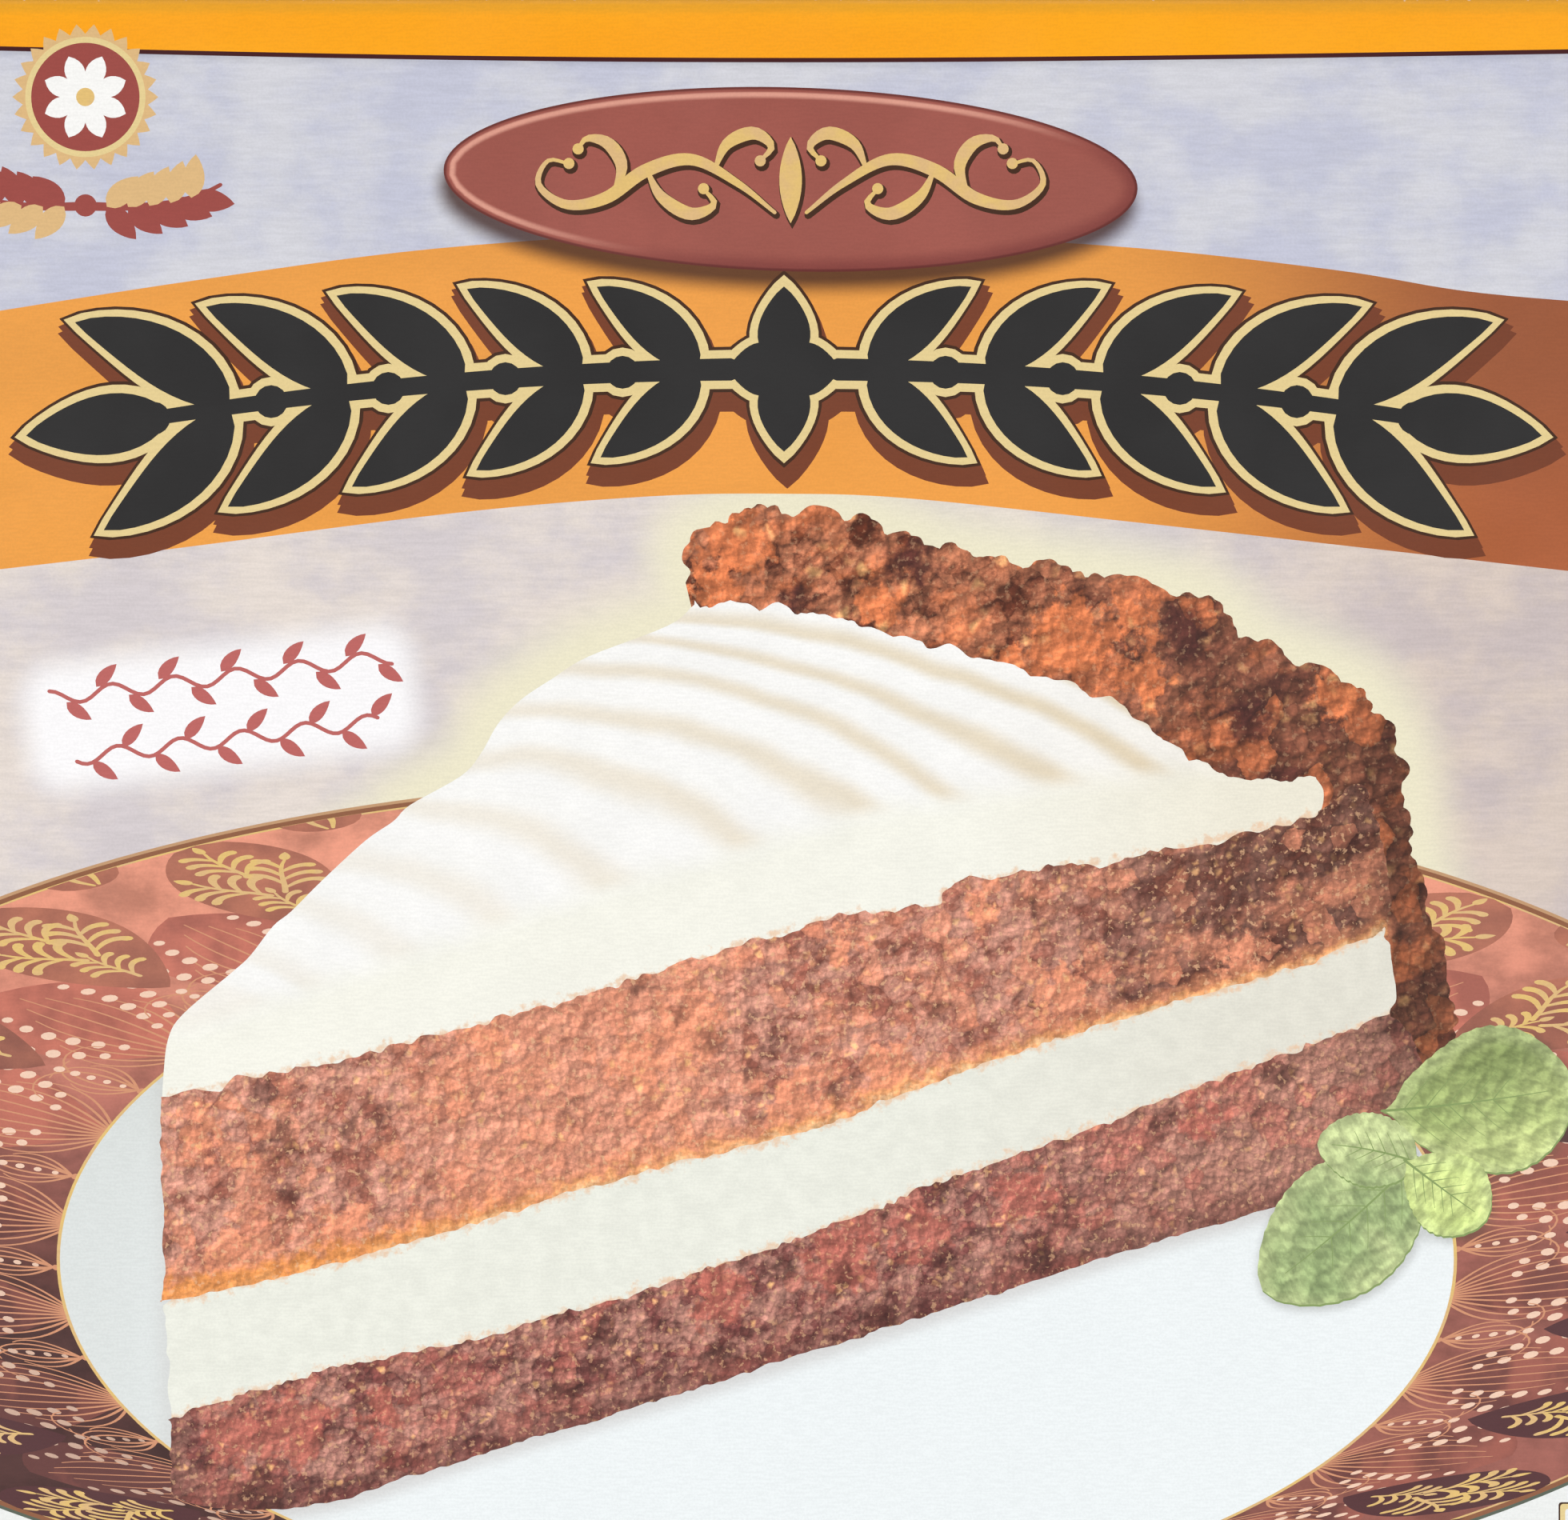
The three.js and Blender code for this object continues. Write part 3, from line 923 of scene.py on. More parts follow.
cakeSlice = {
    # each path runs from left to right, in millimetres from the panel's middle
    "icingBack": (
        (-94.1, -31.6), (-93.4, -26.2), (-91.2, -22.4), (-83.6, -15.9), (-80.9, -13.4), (-77.5, -9.0),
        (-74.8, -6.8), (-70.2, -2.2), (-63.6, 3.9), (-59.3, 6.9), (-56.7, 9.4), (-49.0, 13.8),
        (-46.0, 17.2), (-43.4, 21.7), (-40.0, 25.3), (-35.1, 28.6), (-29.7, 31.9), (-17.6, 36.6),
        (-13.6, 39.8),
    ),
    "icingEdge": (
        (-13.6, 40.0), (2.7, 38.6), (25.4, 32.7), (47.4, 25.9), (60.5, 17.0), (70.1, 12.9), (80.7, 13.4),
    ),
    "icingEnd": ((80.7, 13.4), (81.8, 11.6), (81.6, 9.0), (80.6, 7.4)),
    "crustBack": (
        (-14.6, 43.0), (-13.8, 49.0), (-6.0, 53.2), (8.0, 53.0), (28.0, 47.0), (48.0, 44.0), (63.0, 40.4),
        (72.0, 33.4), (86.0, 27.6), (92.5, 18.0), (95.0, 3.0), (99.0, -12.0), (101.4, -24.0), (97.0, -34.0),
    ),
    "cakeTop": (
        (-94.4, -35.2), (-74.8, -30.9), (-48.4, -24.6), (-26.2, -18.3), (5.7, -8.3), (22.4, -6.4),
        (26.0, -2.8), (45.0, 0.2), (57.2, 2.1), (81.0, 7.8),
    ),
    "fillingTop": (
        (-94.6, -66.0), (-79.0, -62.8), (-51.2, -55.4), (-19.3, -45.6), (2.4, -40.4), (24.7, -31.8),
        (46.9, -24.4), (76.5, -15.4), (90.7, -9.5),
    ),
    "fillingFoot": (
        (-93.4, -83.6), (-69.3, -76.3), (-38.6, -69.4), (2.4, -56.4), (24.7, -47.3), (46.9, -39.6),
        (80.3, -26.8), (92.0, -22.6),
    ),
    "cakeFoot": (
        (-93.0, -95.6), (-82.3, -97.4), (-68.0, -96.0), (-47.0, -89.3), (-19.3, -81.0), (21.0, -68.3),
        (54.4, -57.5), (87.2, -46.9), (97.0, -34.0),
    ),
    "cutEnd": ((-94.4, -35.2), (-94.2, -66.0), (-93.2, -83.6), (-93.0, -95.6)),
    "rightWall": ((81.0, 8.5), (87.5, 12.5), (90.5, 5.0), (92.0, -4.0), (91.4, -9.6)),
    "fillingEnd": ((90.4, -8.6), (91.8, -13.0), (92.8, -18.6), (92.0, -22.0)),
    "lowerEnd": ((92.0, -22.6), (95.5, -26.0), (97.5, -32.0)),
    "roughness": {
        # for each edge: step, size, grain, size and spacing of its knobs, and seed, as rough() takes them
        "crustBack": (0.5, 0.4, 1.5, 1.6, 9.0, 3),
        "crustCrumbs": (0.5, 0.14, 0.8, 0.5, 3.1, 4),
        "cakeTop": (0.4, 0.62, 1.3, 0.4, 4.5, 5),
        "fillingTop": (0.45, 0.36, 1.1, 0, 7, 7),
        "fillingFoot": (0.45, 0.42, 1.0, 0, 7, 9),
        "cakeFoot": (0.45, 0.26, 1.0, 0, 7, 11),
        "icingEdge": (0.45, 0.32, 0.9, 0.8, 6.6, 13),
        "cutEnd": (0.5, 0.3, 1.1, 0, 7, 15),
        "rightWall": (0.5, 0.4, 1.1, 0, 7, 17),
        "lowerEnd": (0.5, 0.35, 1.0, 0, 7, 19),
        "fillingEnd": (0.5, 0.4, 1.1, 0, 7, 21),
    },
    "overlap": 2.0,              # the white layers run this far under the cake, and the crust under the icing
    "ridgeFoot": ((-89.6, -25.5), (-58.0, -14.5), (-24.8, -3.5), (12.7, 7.6), (43.0, 12.0), (62.0, 14.0)),
    "ridges": (
        # start, middle and end of the dark line behind each combed ridge
        ((-12.1, 37.4), (26.6, 29.0), (58.1, 14.0)),
        ((-18.2, 34.4), (13.3, 26.5), (43.0, 12.4)),
        ((-30.3, 30.2), (0.0, 24.5), (26.6, 9.8)),
        ((-35.1, 23.7), (-9.7, 19.3), (12.7, 8.6)),
        ((-41.2, 16.5), (-21.8, 13.2), (-4.2, 2.7)),
        ((-50.9, 9.2), (-37.5, 4.7), (-24.8, -2.9)),
        ((-60.6, 0.5), (-50.9, -3.1), (-42.4, -9.2)),
        ((-69.0, -6.2), (-62.4, -9.2), (-56.3, -13.4)),
        ((-78.7, -14.4), (-74.0, -17.2), (-69.0, -21.3)),
    ),
}


def roughEdge(name, steps=8):
    # One of the slice's paths, made smooth and then rough. Without steps it stays straight between points.
    path = through(cakeSlice[name], steps) if steps else np.array(cakeSlice[name])
    return rough(path, *cakeSlice["roughness"][name])


def sliceArtwork():
    # Crust first, then the white layers, and over them the two layers of cake with their rough edges.
    edge, under = through(cakeSlice["icingEdge"]), cakeSlice["overlap"]
    crustBack = rough(roughEdge("crustBack"), *cakeSlice["roughness"]["crustCrumbs"])
    cakeTop, fillingTop, fillingFoot, cakeFoot = (
        roughEdge(name) for name in ("cakeTop", "fillingTop", "fillingFoot", "cakeFoot"))
    cutEnd, lowerEnd = roughEdge("cutEnd", 0), roughEdge("lowerEnd", 0)
    upperEnd = cutEnd[cutEnd[:, 1] > -66]
    whiteEnd = cutEnd[(cutEnd[:, 1] < -66) & (cutEnd[:, 1] > -83.6)] + (0.3, 0)
    footEnd = cutEnd[cutEnd[:, 1] < -83.6]
    icingFoot = shifted(through(cakeSlice["cakeTop"]), 0, -under)
    crust = (crustBack, cakeFoot[::-1][8:60], fillingTop[::-1], shifted(edge, 0, -under - 0.5)[::-1])
    filling = (whiteEnd[:1], shifted(fillingTop, 0, under)[12:], roughEdge("fillingEnd", 5),
               shifted(fillingFoot, 0, -under)[12:][::-1], whiteEnd[::-1])
    icing = (through(cakeSlice["icingBack"], 5), roughEdge("icingEdge"), through(cakeSlice["icingEnd"], 4),
             icingFoot[::-1])
    return [
        ("crust", np.vstack(crust)),
        ("filling", np.vstack(filling)),
        ("icing", np.vstack(icing)),
        ("upperCake", np.vstack([cakeTop, roughEdge("rightWall", 5), fillingTop[::-1], upperEnd[::-1]])),
        ("lowerCake", np.vstack([fillingFoot, lowerEnd, cakeFoot[::-1], footEnd[::-1]])),
    ]


def sliceOutline():
    # The whole slice's silhouette, for its halo.
    parts = [through(cakeSlice[key], 3) for key in ("icingBack", "crustBack")]
    return np.vstack(parts + [through(cakeSlice["cakeFoot"], 3)[::-1]])


def bakedThinning(points):
    # The baked fringe at the foot of the upper cake is thinner to the right.
    return np.interp(points[:, 0], (-95, -40, 15, 55, 95), (1.5, 1.9, 1.9, 2.6, 3.0))


def ridgePhase(points):
    # How many ridges lie above a point, with a fraction between two ridges. Each ridge is a parabola
    # through its three points.
    x, y = points.T
    heights = np.stack([np.polyval(np.polyfit(*np.array(ridge).T, 2), x) for ridge in cakeSlice["ridges"]], 1)
    heights = np.column_stack([heights[:, 0] + 7.0, heights, heights[:, -1] - 7.0])
    row = np.clip((heights > y[:, None]).sum(1) - 1, 0, heights.shape[1] - 2)
    above, below = heights[np.arange(len(x)), row], heights[np.arange(len(x)), row + 1]
    return row + np.clip((above - y) / np.maximum(above - below, 0.5), 0, 1)


def ridgeFade(points):
    # 1 on the icing's top, falling to 0 on its cut face below the ends of the ridges.
    foot = np.array(cakeSlice["ridgeFoot"])
    return np.clip((points[:, 1] - np.interp(points[:, 0], foot[:, 0], foot[:, 1])) / 5.0 + 0.25, 0, 1)


# The plate under the slice, with a leaf and scroll ornament on its rim

plate = {
    "outer": (-4.3, -50.8, 163.5, 63.7),     # middle and half axes of the picture of the plate
    "well": (-4.1, -59.4, 105.6, 53.0),
    "edges": (("footLine", 1.1, 0.75), ("plateEdge", 0.4, 0.3), ("gold", -0.6, -0.35), ("rim", -1.0, -0.6)),
    "motifs": 24,                            # palmettes, with a dark panel over each gap
    "start": -0.4,                           # how far round the first one is, in motifs
    "motifSize": 0.62,
    "veins": 11,                             # in each palmette
    "dots": 6,                               # in each row beside a palmette
}


def onRim(angle, reach):
    # A place on the rim: angle round the plate, and reach from its well (0) to its outer edge (1).
    ends = []
    for key in ("well", "outer"):
        cx, cy, a, b = plate[key]
        ends.append(np.stack([cx + a * np.cos(angle), cy + b * np.sin(angle)], -1))
    return ends[0] + (ends[1] - ends[0]) * np.asarray(reach)[..., None]


def laidOnRim(layers, angle, lift=0.0, size=plate["motifSize"]):
    # Flat motifs laid on the rim, where x runs round the plate and y outwards from the well. Those
    # that the slice would hide wholly, or that lie off the panel, are left out.
    inner, outer = plate["well"][2], plate["outer"][2]
    hidden = sliceOutline()
    laid = []
    for ink, shape in layers:
        x, y = (shape * size + (0, lift)).T
        y = np.minimum(y, outer - inner - 1.0)
        there = onRim(angle - x / (inner + y), y / (outer - inner))
        if not isInside(there, hidden).all() and np.abs(there).min(0).max() < carton["halfWidth"] + 4:
            laid.append((ink, there))
    return laid


def fern(x, y, heading, size, pairs=3):
    # Comma strokes to both sides of a bent stem, shorter towards its tip, and a bud on top.
    stem = curl((x, y), heading, 17 * size, 0.04 / size, -0.07 / size, 2 * pairs + 3)
    shapes = [stroke(stem, np.linspace(0.65, 0.35, len(stem)) * size, 0, 2)]
    for k in range(2 * pairs):
        side = 1 if k % 2 else -1
        length = (9.5 - 0.6 * k) * size
        hook = curl(stem[k + 1], heading + side * 38, length, -0.06 * side / size, 0.36 * side / size, 9)
        shapes.append(stroke(hook, np.linspace(0.35, 1.15, 9) * size, 0, 3))
    shapes.append(petal(stem[-1], heading, 4.5 * size, 1.1 * size, 0, 0, 8))
    return inked("gold", shapes)


def palmette():
    # A leaf that opens outwards, with fine curling veins, and arcs of dots that swell and shrink again.
    layers = [("leaf", petal((0, -2), 90, 60, 22, steps=24, fullest=0.6))]
    for k in range(plate["veins"]):
        lean = (k - (plate["veins"] - 1) / 2) * 11.0
        vein = curl((lean * 0.02, -2), 90 - lean, 54 - 0.4 * abs(lean), 0.0, 0.0013 * lean, 12)
        layers.append(("vein", stroke(vein, np.linspace(0.45, 0.2, 12), 0, 1)))
    for side in (-1, 1):
        for row in range(2):
            foot = (side * (4 + 5.5 * row), 10 + 2 * row)
            arc = curl(foot, 90 - side * (26 + 9 * row), 46, 0.0, side * 0.045, plate["dots"] + 2)
            for k, (x, y) in enumerate(arc[1:-1]):
                size = 1.0 + 0.95 * math.sin(math.pi * (k + 1) / (plate["dots"] + 1))
                layers.append(("dot", ellipse(x, y, 1.1 * size, size, 10)))
    return layers


def darkPanel():
    # A dark pointed panel that hangs inwards from the outer edge, filled with gold ferns.
    layers = [("purple", petal((0, 66), -90, 66, 19, steps=24, fullest=0.4))]
    for x, y, heading, size in ((-2, 26, 122, 1.25), (2, 26, 58, 1.25), (0, 10, 90, 1.0), (0, 38, 92, 1.2)):
        layers += fern(x, y, heading, size)
    return layers


def gapFiller():
    # Thin tendrils and a short row of dots between two palmettes.
    layers = []
    for side in (-1, 1):
        for k, (heading, length) in enumerate(((74, 40), (58, 30), (40, 20))):
            tendril = curl((side * 0.5 * k, 1), 90 + side * (90 - heading), length, 0.0, -side * 0.16, 16)
            layers.append(("vein", stroke(tendril, np.linspace(0.45, 0.2, 16), 0, 1)))
    layers += [("dot", ellipse(0, 6 + 4.4 * k, 0.9 + 0.15 * k, 0.85 + 0.15 * k, 10)) for k in range(5)]
    return layers


def scallop():
    # A small dark scallop on the outer edge with two gold commas in it.
    layers = [("purple", ellipse(0, 0, 8.5, 7.0, 20))]
    for side in (-1, 1):
        hook = curl((side * 0.6, -6), 90 - side * 22, 9.5, -side * 0.05, side * 0.36, 10)
        layers.append(("gold", stroke(hook, np.linspace(0.35, 1.1, 10), 0, 3)))
    return layers


def plateArtwork():
    # Rings from the outside in, then the rim's motifs by turns, and the bare well over their feet.
    outer, well = plate["outer"], plate["well"]
    layers = [(ink, ellipse(*outer[:2], outer[2] + growX, outer[3] + growY, 240))
              for ink, growX, growY in plate["edges"]]
    reach = outer[2] - well[2]
    step = 2 * math.pi / plate["motifs"]
    turns = step * (np.arange(plate["motifs"]) + plate["start"])
    for turn in turns:
        layers += laidOnRim(palmette(), turn)
    for turn in turns + step / 2:
        layers += laidOnRim(gapFiller(), turn)
        layers += laidOnRim(darkPanel(), turn, reach - 66 * plate["motifSize"])
    for turn in turns:
        layers += laidOnRim(scallop(), turn, reach, 0.8)
    line = ellipse(*well[:2], well[2] + 0.5, well[3] + 0.35, 180)
    return layers + [("gold", line), ("plate", ellipse(*well, 180))]


# The sprig of mint beside the slice

mint = {
    # ink, foot of the leaf, heading in degrees, length, half width, bend, and how far out it is fullest
    "leaves": (
        ("mint", (90.6, -37.0), 4, 29.5, 11.0, 0.004, 0.6),
        ("mintLow", (96.0, -44.0), 226, 31.0, 9.8, -0.006, 0.5),
        ("mintLow", (96.5, -45.0), 160, 16.0, 5.4, 0.02, 0.5),
        ("mintLight", (94.0, -44.4), -38, 15.4, 6.2, 0.004, 0.58),
    ),
    "scallop": 0.28,                  # size of the blunt teeth along each leaf
    "veins": 5,
    "shade": (0.3, -0.6),             # how far its shadow falls to the right and up
}


def mintLeaf(foot, heading, length, halfWidth, bend, fullest):
    # A blunt oval leaf: its half width follows a flattened sine, with small scallops all along.
    t = np.linspace(0, 1, 40)
    path = curl(foot, heading, length, bend, bend, 40)
    swell = np.sin(math.pi * t ** (math.log(0.5) / math.log(fullest)))
    half = halfWidth * swell**0.62 + mint["scallop"] * np.abs(np.sin(14 * math.pi * t))
    return stroke(path, half * np.clip(t * 8, 0.2, 1), 0, 2)


def mintArtwork():
    # Leaves from the far one to the near one, each with a dark rim below it, a rib and side veins.
    layers = []
    for ink, foot, heading, length, halfWidth, bend, fullest in mint["leaves"]:
        leaf = mintLeaf(foot, heading, length, halfWidth, bend, fullest)
        layers += [("mintVein", shifted(leaf, 0.1, -0.3)), (ink, leaf)]
        rib = curl(foot, heading, length * 0.86, bend, bend, 16)
        layers.append(("mintVein", stroke(rib, np.linspace(0.2, 0.05, 16), 0, 1)))
        for k in range(mint["veins"]):
            at = rib[2 + 2 * k]
            for side in (-1, 1):
                vein = curl(at, heading + side * 48, halfWidth * (0.8 - 0.07 * k), 0.0, -side * 0.05, 8)
                layers.append(("mintVein", stroke(vein, np.linspace(0.08, 0.03, 8), 0, 1)))
    return layers


# The laurel on the swoosh

laurel = {
    "reach": 113.0,              # how far it runs to each side
    "top": 75.5,                 # height of its stem at the middle
    "droop": 10.5,               # how much lower its ends are
    "pairs": 5,                  # pairs of leaves on each side
    "leaf": (20.0, 27.0),        # leaf length at the middle and at the ends
    "leafHalf": (3.7, 4.5),
    "spread": 52,                # degrees between a leaf and the stem
    "keyline": 1.25,
    "edge": 1.75,
    "shade": ((0.5, -2.4, 2.3), (0.3, -1.3, 2.1)),   # right, up and growth of each drop shadow
}


def laurelShapes(grow, scale=1.0, middle=(0.0, 0.0)):
    # Leaves in pairs along an arched stem, from a diamond in the middle, with a berry in each fork.
    reach, top, droop = laurel["reach"], laurel["top"], laurel["droop"]

    def stemAt(x):
        return (x, top - droop * (x / reach) ** 2)

    shapes = []
    for side in (-1, 1):
        x = side * np.linspace(8, reach - 18, 30)
        shapes.append(stroke(np.stack(stemAt(x), 1), np.linspace(1.7, 1.1, 30), grow, 3))
        for k in range(laurel["pairs"]):
            t = k / (laurel["pairs"] - 1)
            foot = 13 + (reach - 42) * t
            length = np.interp(t, (0, 1), laurel["leaf"])
            half = np.interp(t, (0, 1), laurel["leafHalf"])
            slope = math.degrees(math.atan(-2 * droop * foot / reach**2))
            for up in (-1, 1):
                heading = slope + up * laurel["spread"]
                heading = heading if side > 0 else 180 - heading
                shapes.append(petal(stemAt(side * foot), heading, length, half, -side * up * 0.02, grow))
            shapes.append(disc(*stemAt(side * (foot + 11.5)), 2.5 + grow, 16))
        shapes.append(petal(stemAt(side * (reach - 20)), 90 - side * 98, 22, 4.6, 0, grow))
    for heading in (0, 90, 180, 270):
        shapes.append(petal((0, top), heading, 12.5 if heading % 180 else 8.5, 4.0, 0, grow))
    return [shape * scale + np.array(middle) for shape in shapes]


def laurelArtwork(scale=1.0, middle=(0.0, 0.0)):
    # The same shapes in turn as shadows, as a dark edge, as a cream keyline and as black faces.
    layers = []
    for right, up, grow in laurel["shade"]:
        cast = [shifted(shape, right * scale, up * scale) for shape in laurelShapes(grow, scale, middle)]
        layers += inked("shade", cast)
    for ink, grow in (("edge", laurel["edge"]), ("cream", laurel["keyline"]), ("black", 0.0)):
        layers += inked(ink, laurelShapes(grow, scale, middle))
    return layers


# The rest of the main panel

panel = {
    "bandFoot": ((-140.0, 124.4), (-60.0, 122.7), (0.0, 122.2), (60.0, 122.6), (140.0, 123.8)),
    "bandLine": 0.34,                                # half width of the maroon line
    "swooshTop": (
        (-140.0, 80.8), (-88.4, 89.0), (-47.6, 94.2), (0.0, 96.4), (48.4, 94.2), (83.2, 90.5),
        (106.0, 86.9), (140.0, 84.2),
    ),
    "swooshFoot": (
        (-140.0, 42.6), (-96.0, 47.8), (-50.6, 53.6), (-20.3, 56.2), (0.0, 56.6), (18.9, 55.9),
        (52.9, 52.3), (83.2, 48.9), (140.0, 42.4),
    ),
    "plaque": (1.0, 104.2, 52.6, 13.9),              # middle and half axes of the oval
    "plaqueTilt": -1.6,
    "plaqueShade": (-0.5, -2.5),                     # how far its shadow falls to the right and up
    "patch": (-85.4, 24.1, 29.0, 9.0),               # middle and half size of the white glow
    "patchTilt": 7.0,
    "label": (117.3, -128.0, 129.6, -96.2),          # a bare box at the lower right: left, foot, right, top
    "footTop": -80.0,                                # white below this, behind the plate
}


def plaqueOutline():
    # The oval, tilted about its middle.
    cx, cy, a, b = panel["plaque"]
    return turned(ellipse(cx, cy, a, b, 140), panel["plaqueTilt"], (cx, cy))


def patchOutline():
    # The box that the white glow spreads from.
    cx, cy, halfX, halfY = panel["patch"]
    return turned(roundedBox(cx, cy, halfX, halfY, 5.0), panel["patchTilt"], (cx, cy))


scroll = {
    # the wave and its three curls, for the right half
    "lines": (
        ((2.4, -5.0), (8.0, -0.6), (15.0, 3.0), (22.0, 1.3), (28.0, -2.8), (34.0, -3.8), (38.2, -0.8),
         (36.8, 2.8), (33.6, 2.4)),
        ((11.5, 1.6), (9.6, 5.4), (5.6, 7.0), (2.9, 5.0), (4.6, 2.8)),
        ((21.8, 1.4), (19.6, -2.6), (15.2, -5.2), (11.6, -3.8), (13.2, -1.4)),
        ((26.8, -2.2), (25.6, 2.0), (27.6, 5.4), (30.8, 6.2), (32.2, 4.6)),
    ),
    "thin": 0.24,                # half width at a line's ends
    "swell": 0.78,               # how much more it has at its middle
    "bud": 0.85,
}


def flourish(cx, cy, size, grow=0.0):
    # A gold figure that mirrors about its middle: a wave that ends in a scroll, with three curls on it.
    shapes = [petal((0, -6.6), 90, 13, 1.7, 0, grow, 12, 0.5)]
    for points in scroll["lines"]:
        path = walked(through(points, 10), 0.8)
        half = scroll["thin"] + scroll["swell"] * np.sin(math.pi * np.linspace(0.04, 1, len(path))) ** 1.5
        for side in (-1, 1):
            shapes.append(stroke(path * (side, 1), half, grow, 3))
            shapes.append(disc(side * path[-1, 0], path[-1, 1], scroll["bud"] + grow, 14))
    return [shape * size + (cx, cy) for shape in shapes]


emblem = {
    "middle": (-105.8, 116.6),
    "radius": 8.2,
    "rays": 26,
}


def rosette():
    # A round brick emblem with a rayed gold rim and an eight-petalled flower, over a swag of leaves.
    cx, cy = emblem["middle"]
    radius = emblem["radius"]
    turns = 2 * math.pi * np.arange(4 * emblem["rays"]) / (4 * emblem["rays"])
    rays = radius + 2.1 + 0.75 * np.cos(turns * emblem["rays"])
    layers = [
        ("paleGold", np.stack([cx + rays * np.cos(turns), cy + rays * np.sin(turns)], 1)),
        ("cream", disc(cx, cy, radius + 0.9, 72)),
        ("brick", disc(cx, cy, radius, 72)),
        *inked("white", [petal((cx, cy), 22.5 + 45 * k, 6.6, 1.5, 0, 0, 12, 0.62) for k in range(8)]),
        ("gold", disc(cx, cy, 1.4, 20)),
    ]
    for side in (-1, 1):
        stem = curl((cx, cy - 16.5), 90 - side * 92, 21, 0.0, side * 0.055, 14)
        layers.append(("brick", stroke(stem, np.linspace(0.7, 0.3, 14), 0, 2)))
        for k in range(5):
            along = 90 - side * (92 - 10 * k)
            for up in (-1, 1):
                leaf = petal(stem[2 + 2 * k], along + up * 46, 6.6, 1.7, 0, 0, 10)
                layers.append(("paleGold" if up > 0 else "brick", leaf))
    layers.append(("brick", disc(cx, cy - 16.4, 1.7, 20)))
    return layers


def wavyVine(cx, cy, halfLength, tilt):
    # A thin wave with a small leaf at each crest.
    x = np.linspace(-halfLength, halfLength, 60)
    wave = np.stack([x, 1.1 * np.sin(2 * math.pi * x / 9.5)], 1)
    shapes = [stroke(wave, 0.3, 0, 2)]
    for at in np.arange(-halfLength + 2.4, halfLength, 4.75):
        up = 1 if math.sin(2 * math.pi * at / 9.5) > 0 else -1
        shapes.append(petal((at, up * 0.9), up * 48, 4.6, 0.95, up * -0.05, 0, 8))
    return [turned(shape, tilt) + (cx, cy) for shape in shapes]


def blankBox(cx, cy, halfX, halfY, insets, radius, steps):
    # A bare pale box with a dark line and a cream border round it.
    inksIn = zip(("edge", "cream", "foot"), (0.0, *insets))
    return [(ink, roundedBox(cx, cy, halfX - inset, halfY - inset, radius, steps)) for ink, inset in inksIn]


def panelArtwork():
    # The main panel's layers, from the ground up.
    far = 150.0
    bandFoot = through(panel["bandFoot"])
    cx, cy = panel["plaque"][:2]
    px, py = panel["patch"][:2]
    left, bottom, right, top = panel["label"]
    return [
        ("ground", strip(far, -far, far)),
        ("foot", strip(far, -far, panel["footTop"])),
        ("band", np.vstack([bandFoot, [(far, far), (-far, far)]])),
        ("bandLine", stroke(bandFoot, panel["bandLine"])),
        ("swoosh", np.vstack([through(panel["swooshTop"]), through(panel["swooshFoot"])[::-1]])),
        *laurelArtwork(),
        ("plaque", plaqueOutline()),
        *inked("edge", [shifted(shape, 0.25, -0.45) for shape in flourish(cx, cy, 1.0, 0.3)]),
        *inked("gold", flourish(cx, cy, 1.0)),
        *rosette(),
        *inked("dustyRed", wavyVine(px, py + 4.6, 26, panel["patchTilt"])),
        *inked("dustyRed", wavyVine(px + 1, py - 4.8, 23, panel["patchTilt"])),
        *plateArtwork(), *sliceArtwork(), *mintArtwork(),
        *blankBox((left + right) / 2, (bottom + top) / 2, (right - left) / 2, (top - bottom) / 2,
                  (0.25, 1.0), 0.4, 2),
    ]


def strip(half, foot, top):
    # A box as wide to the left as to the right.
    return np.array([(-half, foot), (half, foot), (half, top), (-half, top)], float)


def lidOutline(past, steps=6):
    # The lid's flat top piece, cut at a distance past its four fold lines.
    return roundedBox(0, 0, *(foldHalf + past), past, steps)


def placeLid(flat, below):
    # Between its folds the panel sags a little. Past a fold line it turns down through a quarter
    # circle, and then runs straight down the wall.
    r = carton["foldRadius"]
    half = foldHalf
    past = np.maximum(np.abs(flat) - half, 0)
    reach = np.hypot(*past.T)
    outward = np.sign(flat) * past / np.maximum(reach, 1e-9)[:, None]
    turn = np.minimum(reach / r, math.pi / 2)
    drop = np.maximum(reach - r * math.pi / 2, 0)
    level = np.clip(flat, -half, half)
    share = 1 - (level / half) ** 2
    out = level + outward * ((r - below) * np.sin(turn))[:, None]
    z = carton["height"] - r + (r - below) * np.cos(turn) - drop - carton["sag"] * share[:, 0] * share[:, 1]
    return np.column_stack([out, z])


def lidFoldNear(flat):
    # 1 on the crown of a fold, falling to 0 two millimetres from it.
    r = carton["foldRadius"]
    crown = foldHalf + r * math.pi / 4
    return np.clip(1 - (np.abs(np.abs(flat) - crown) / 1.9).min(1), 0, 1)


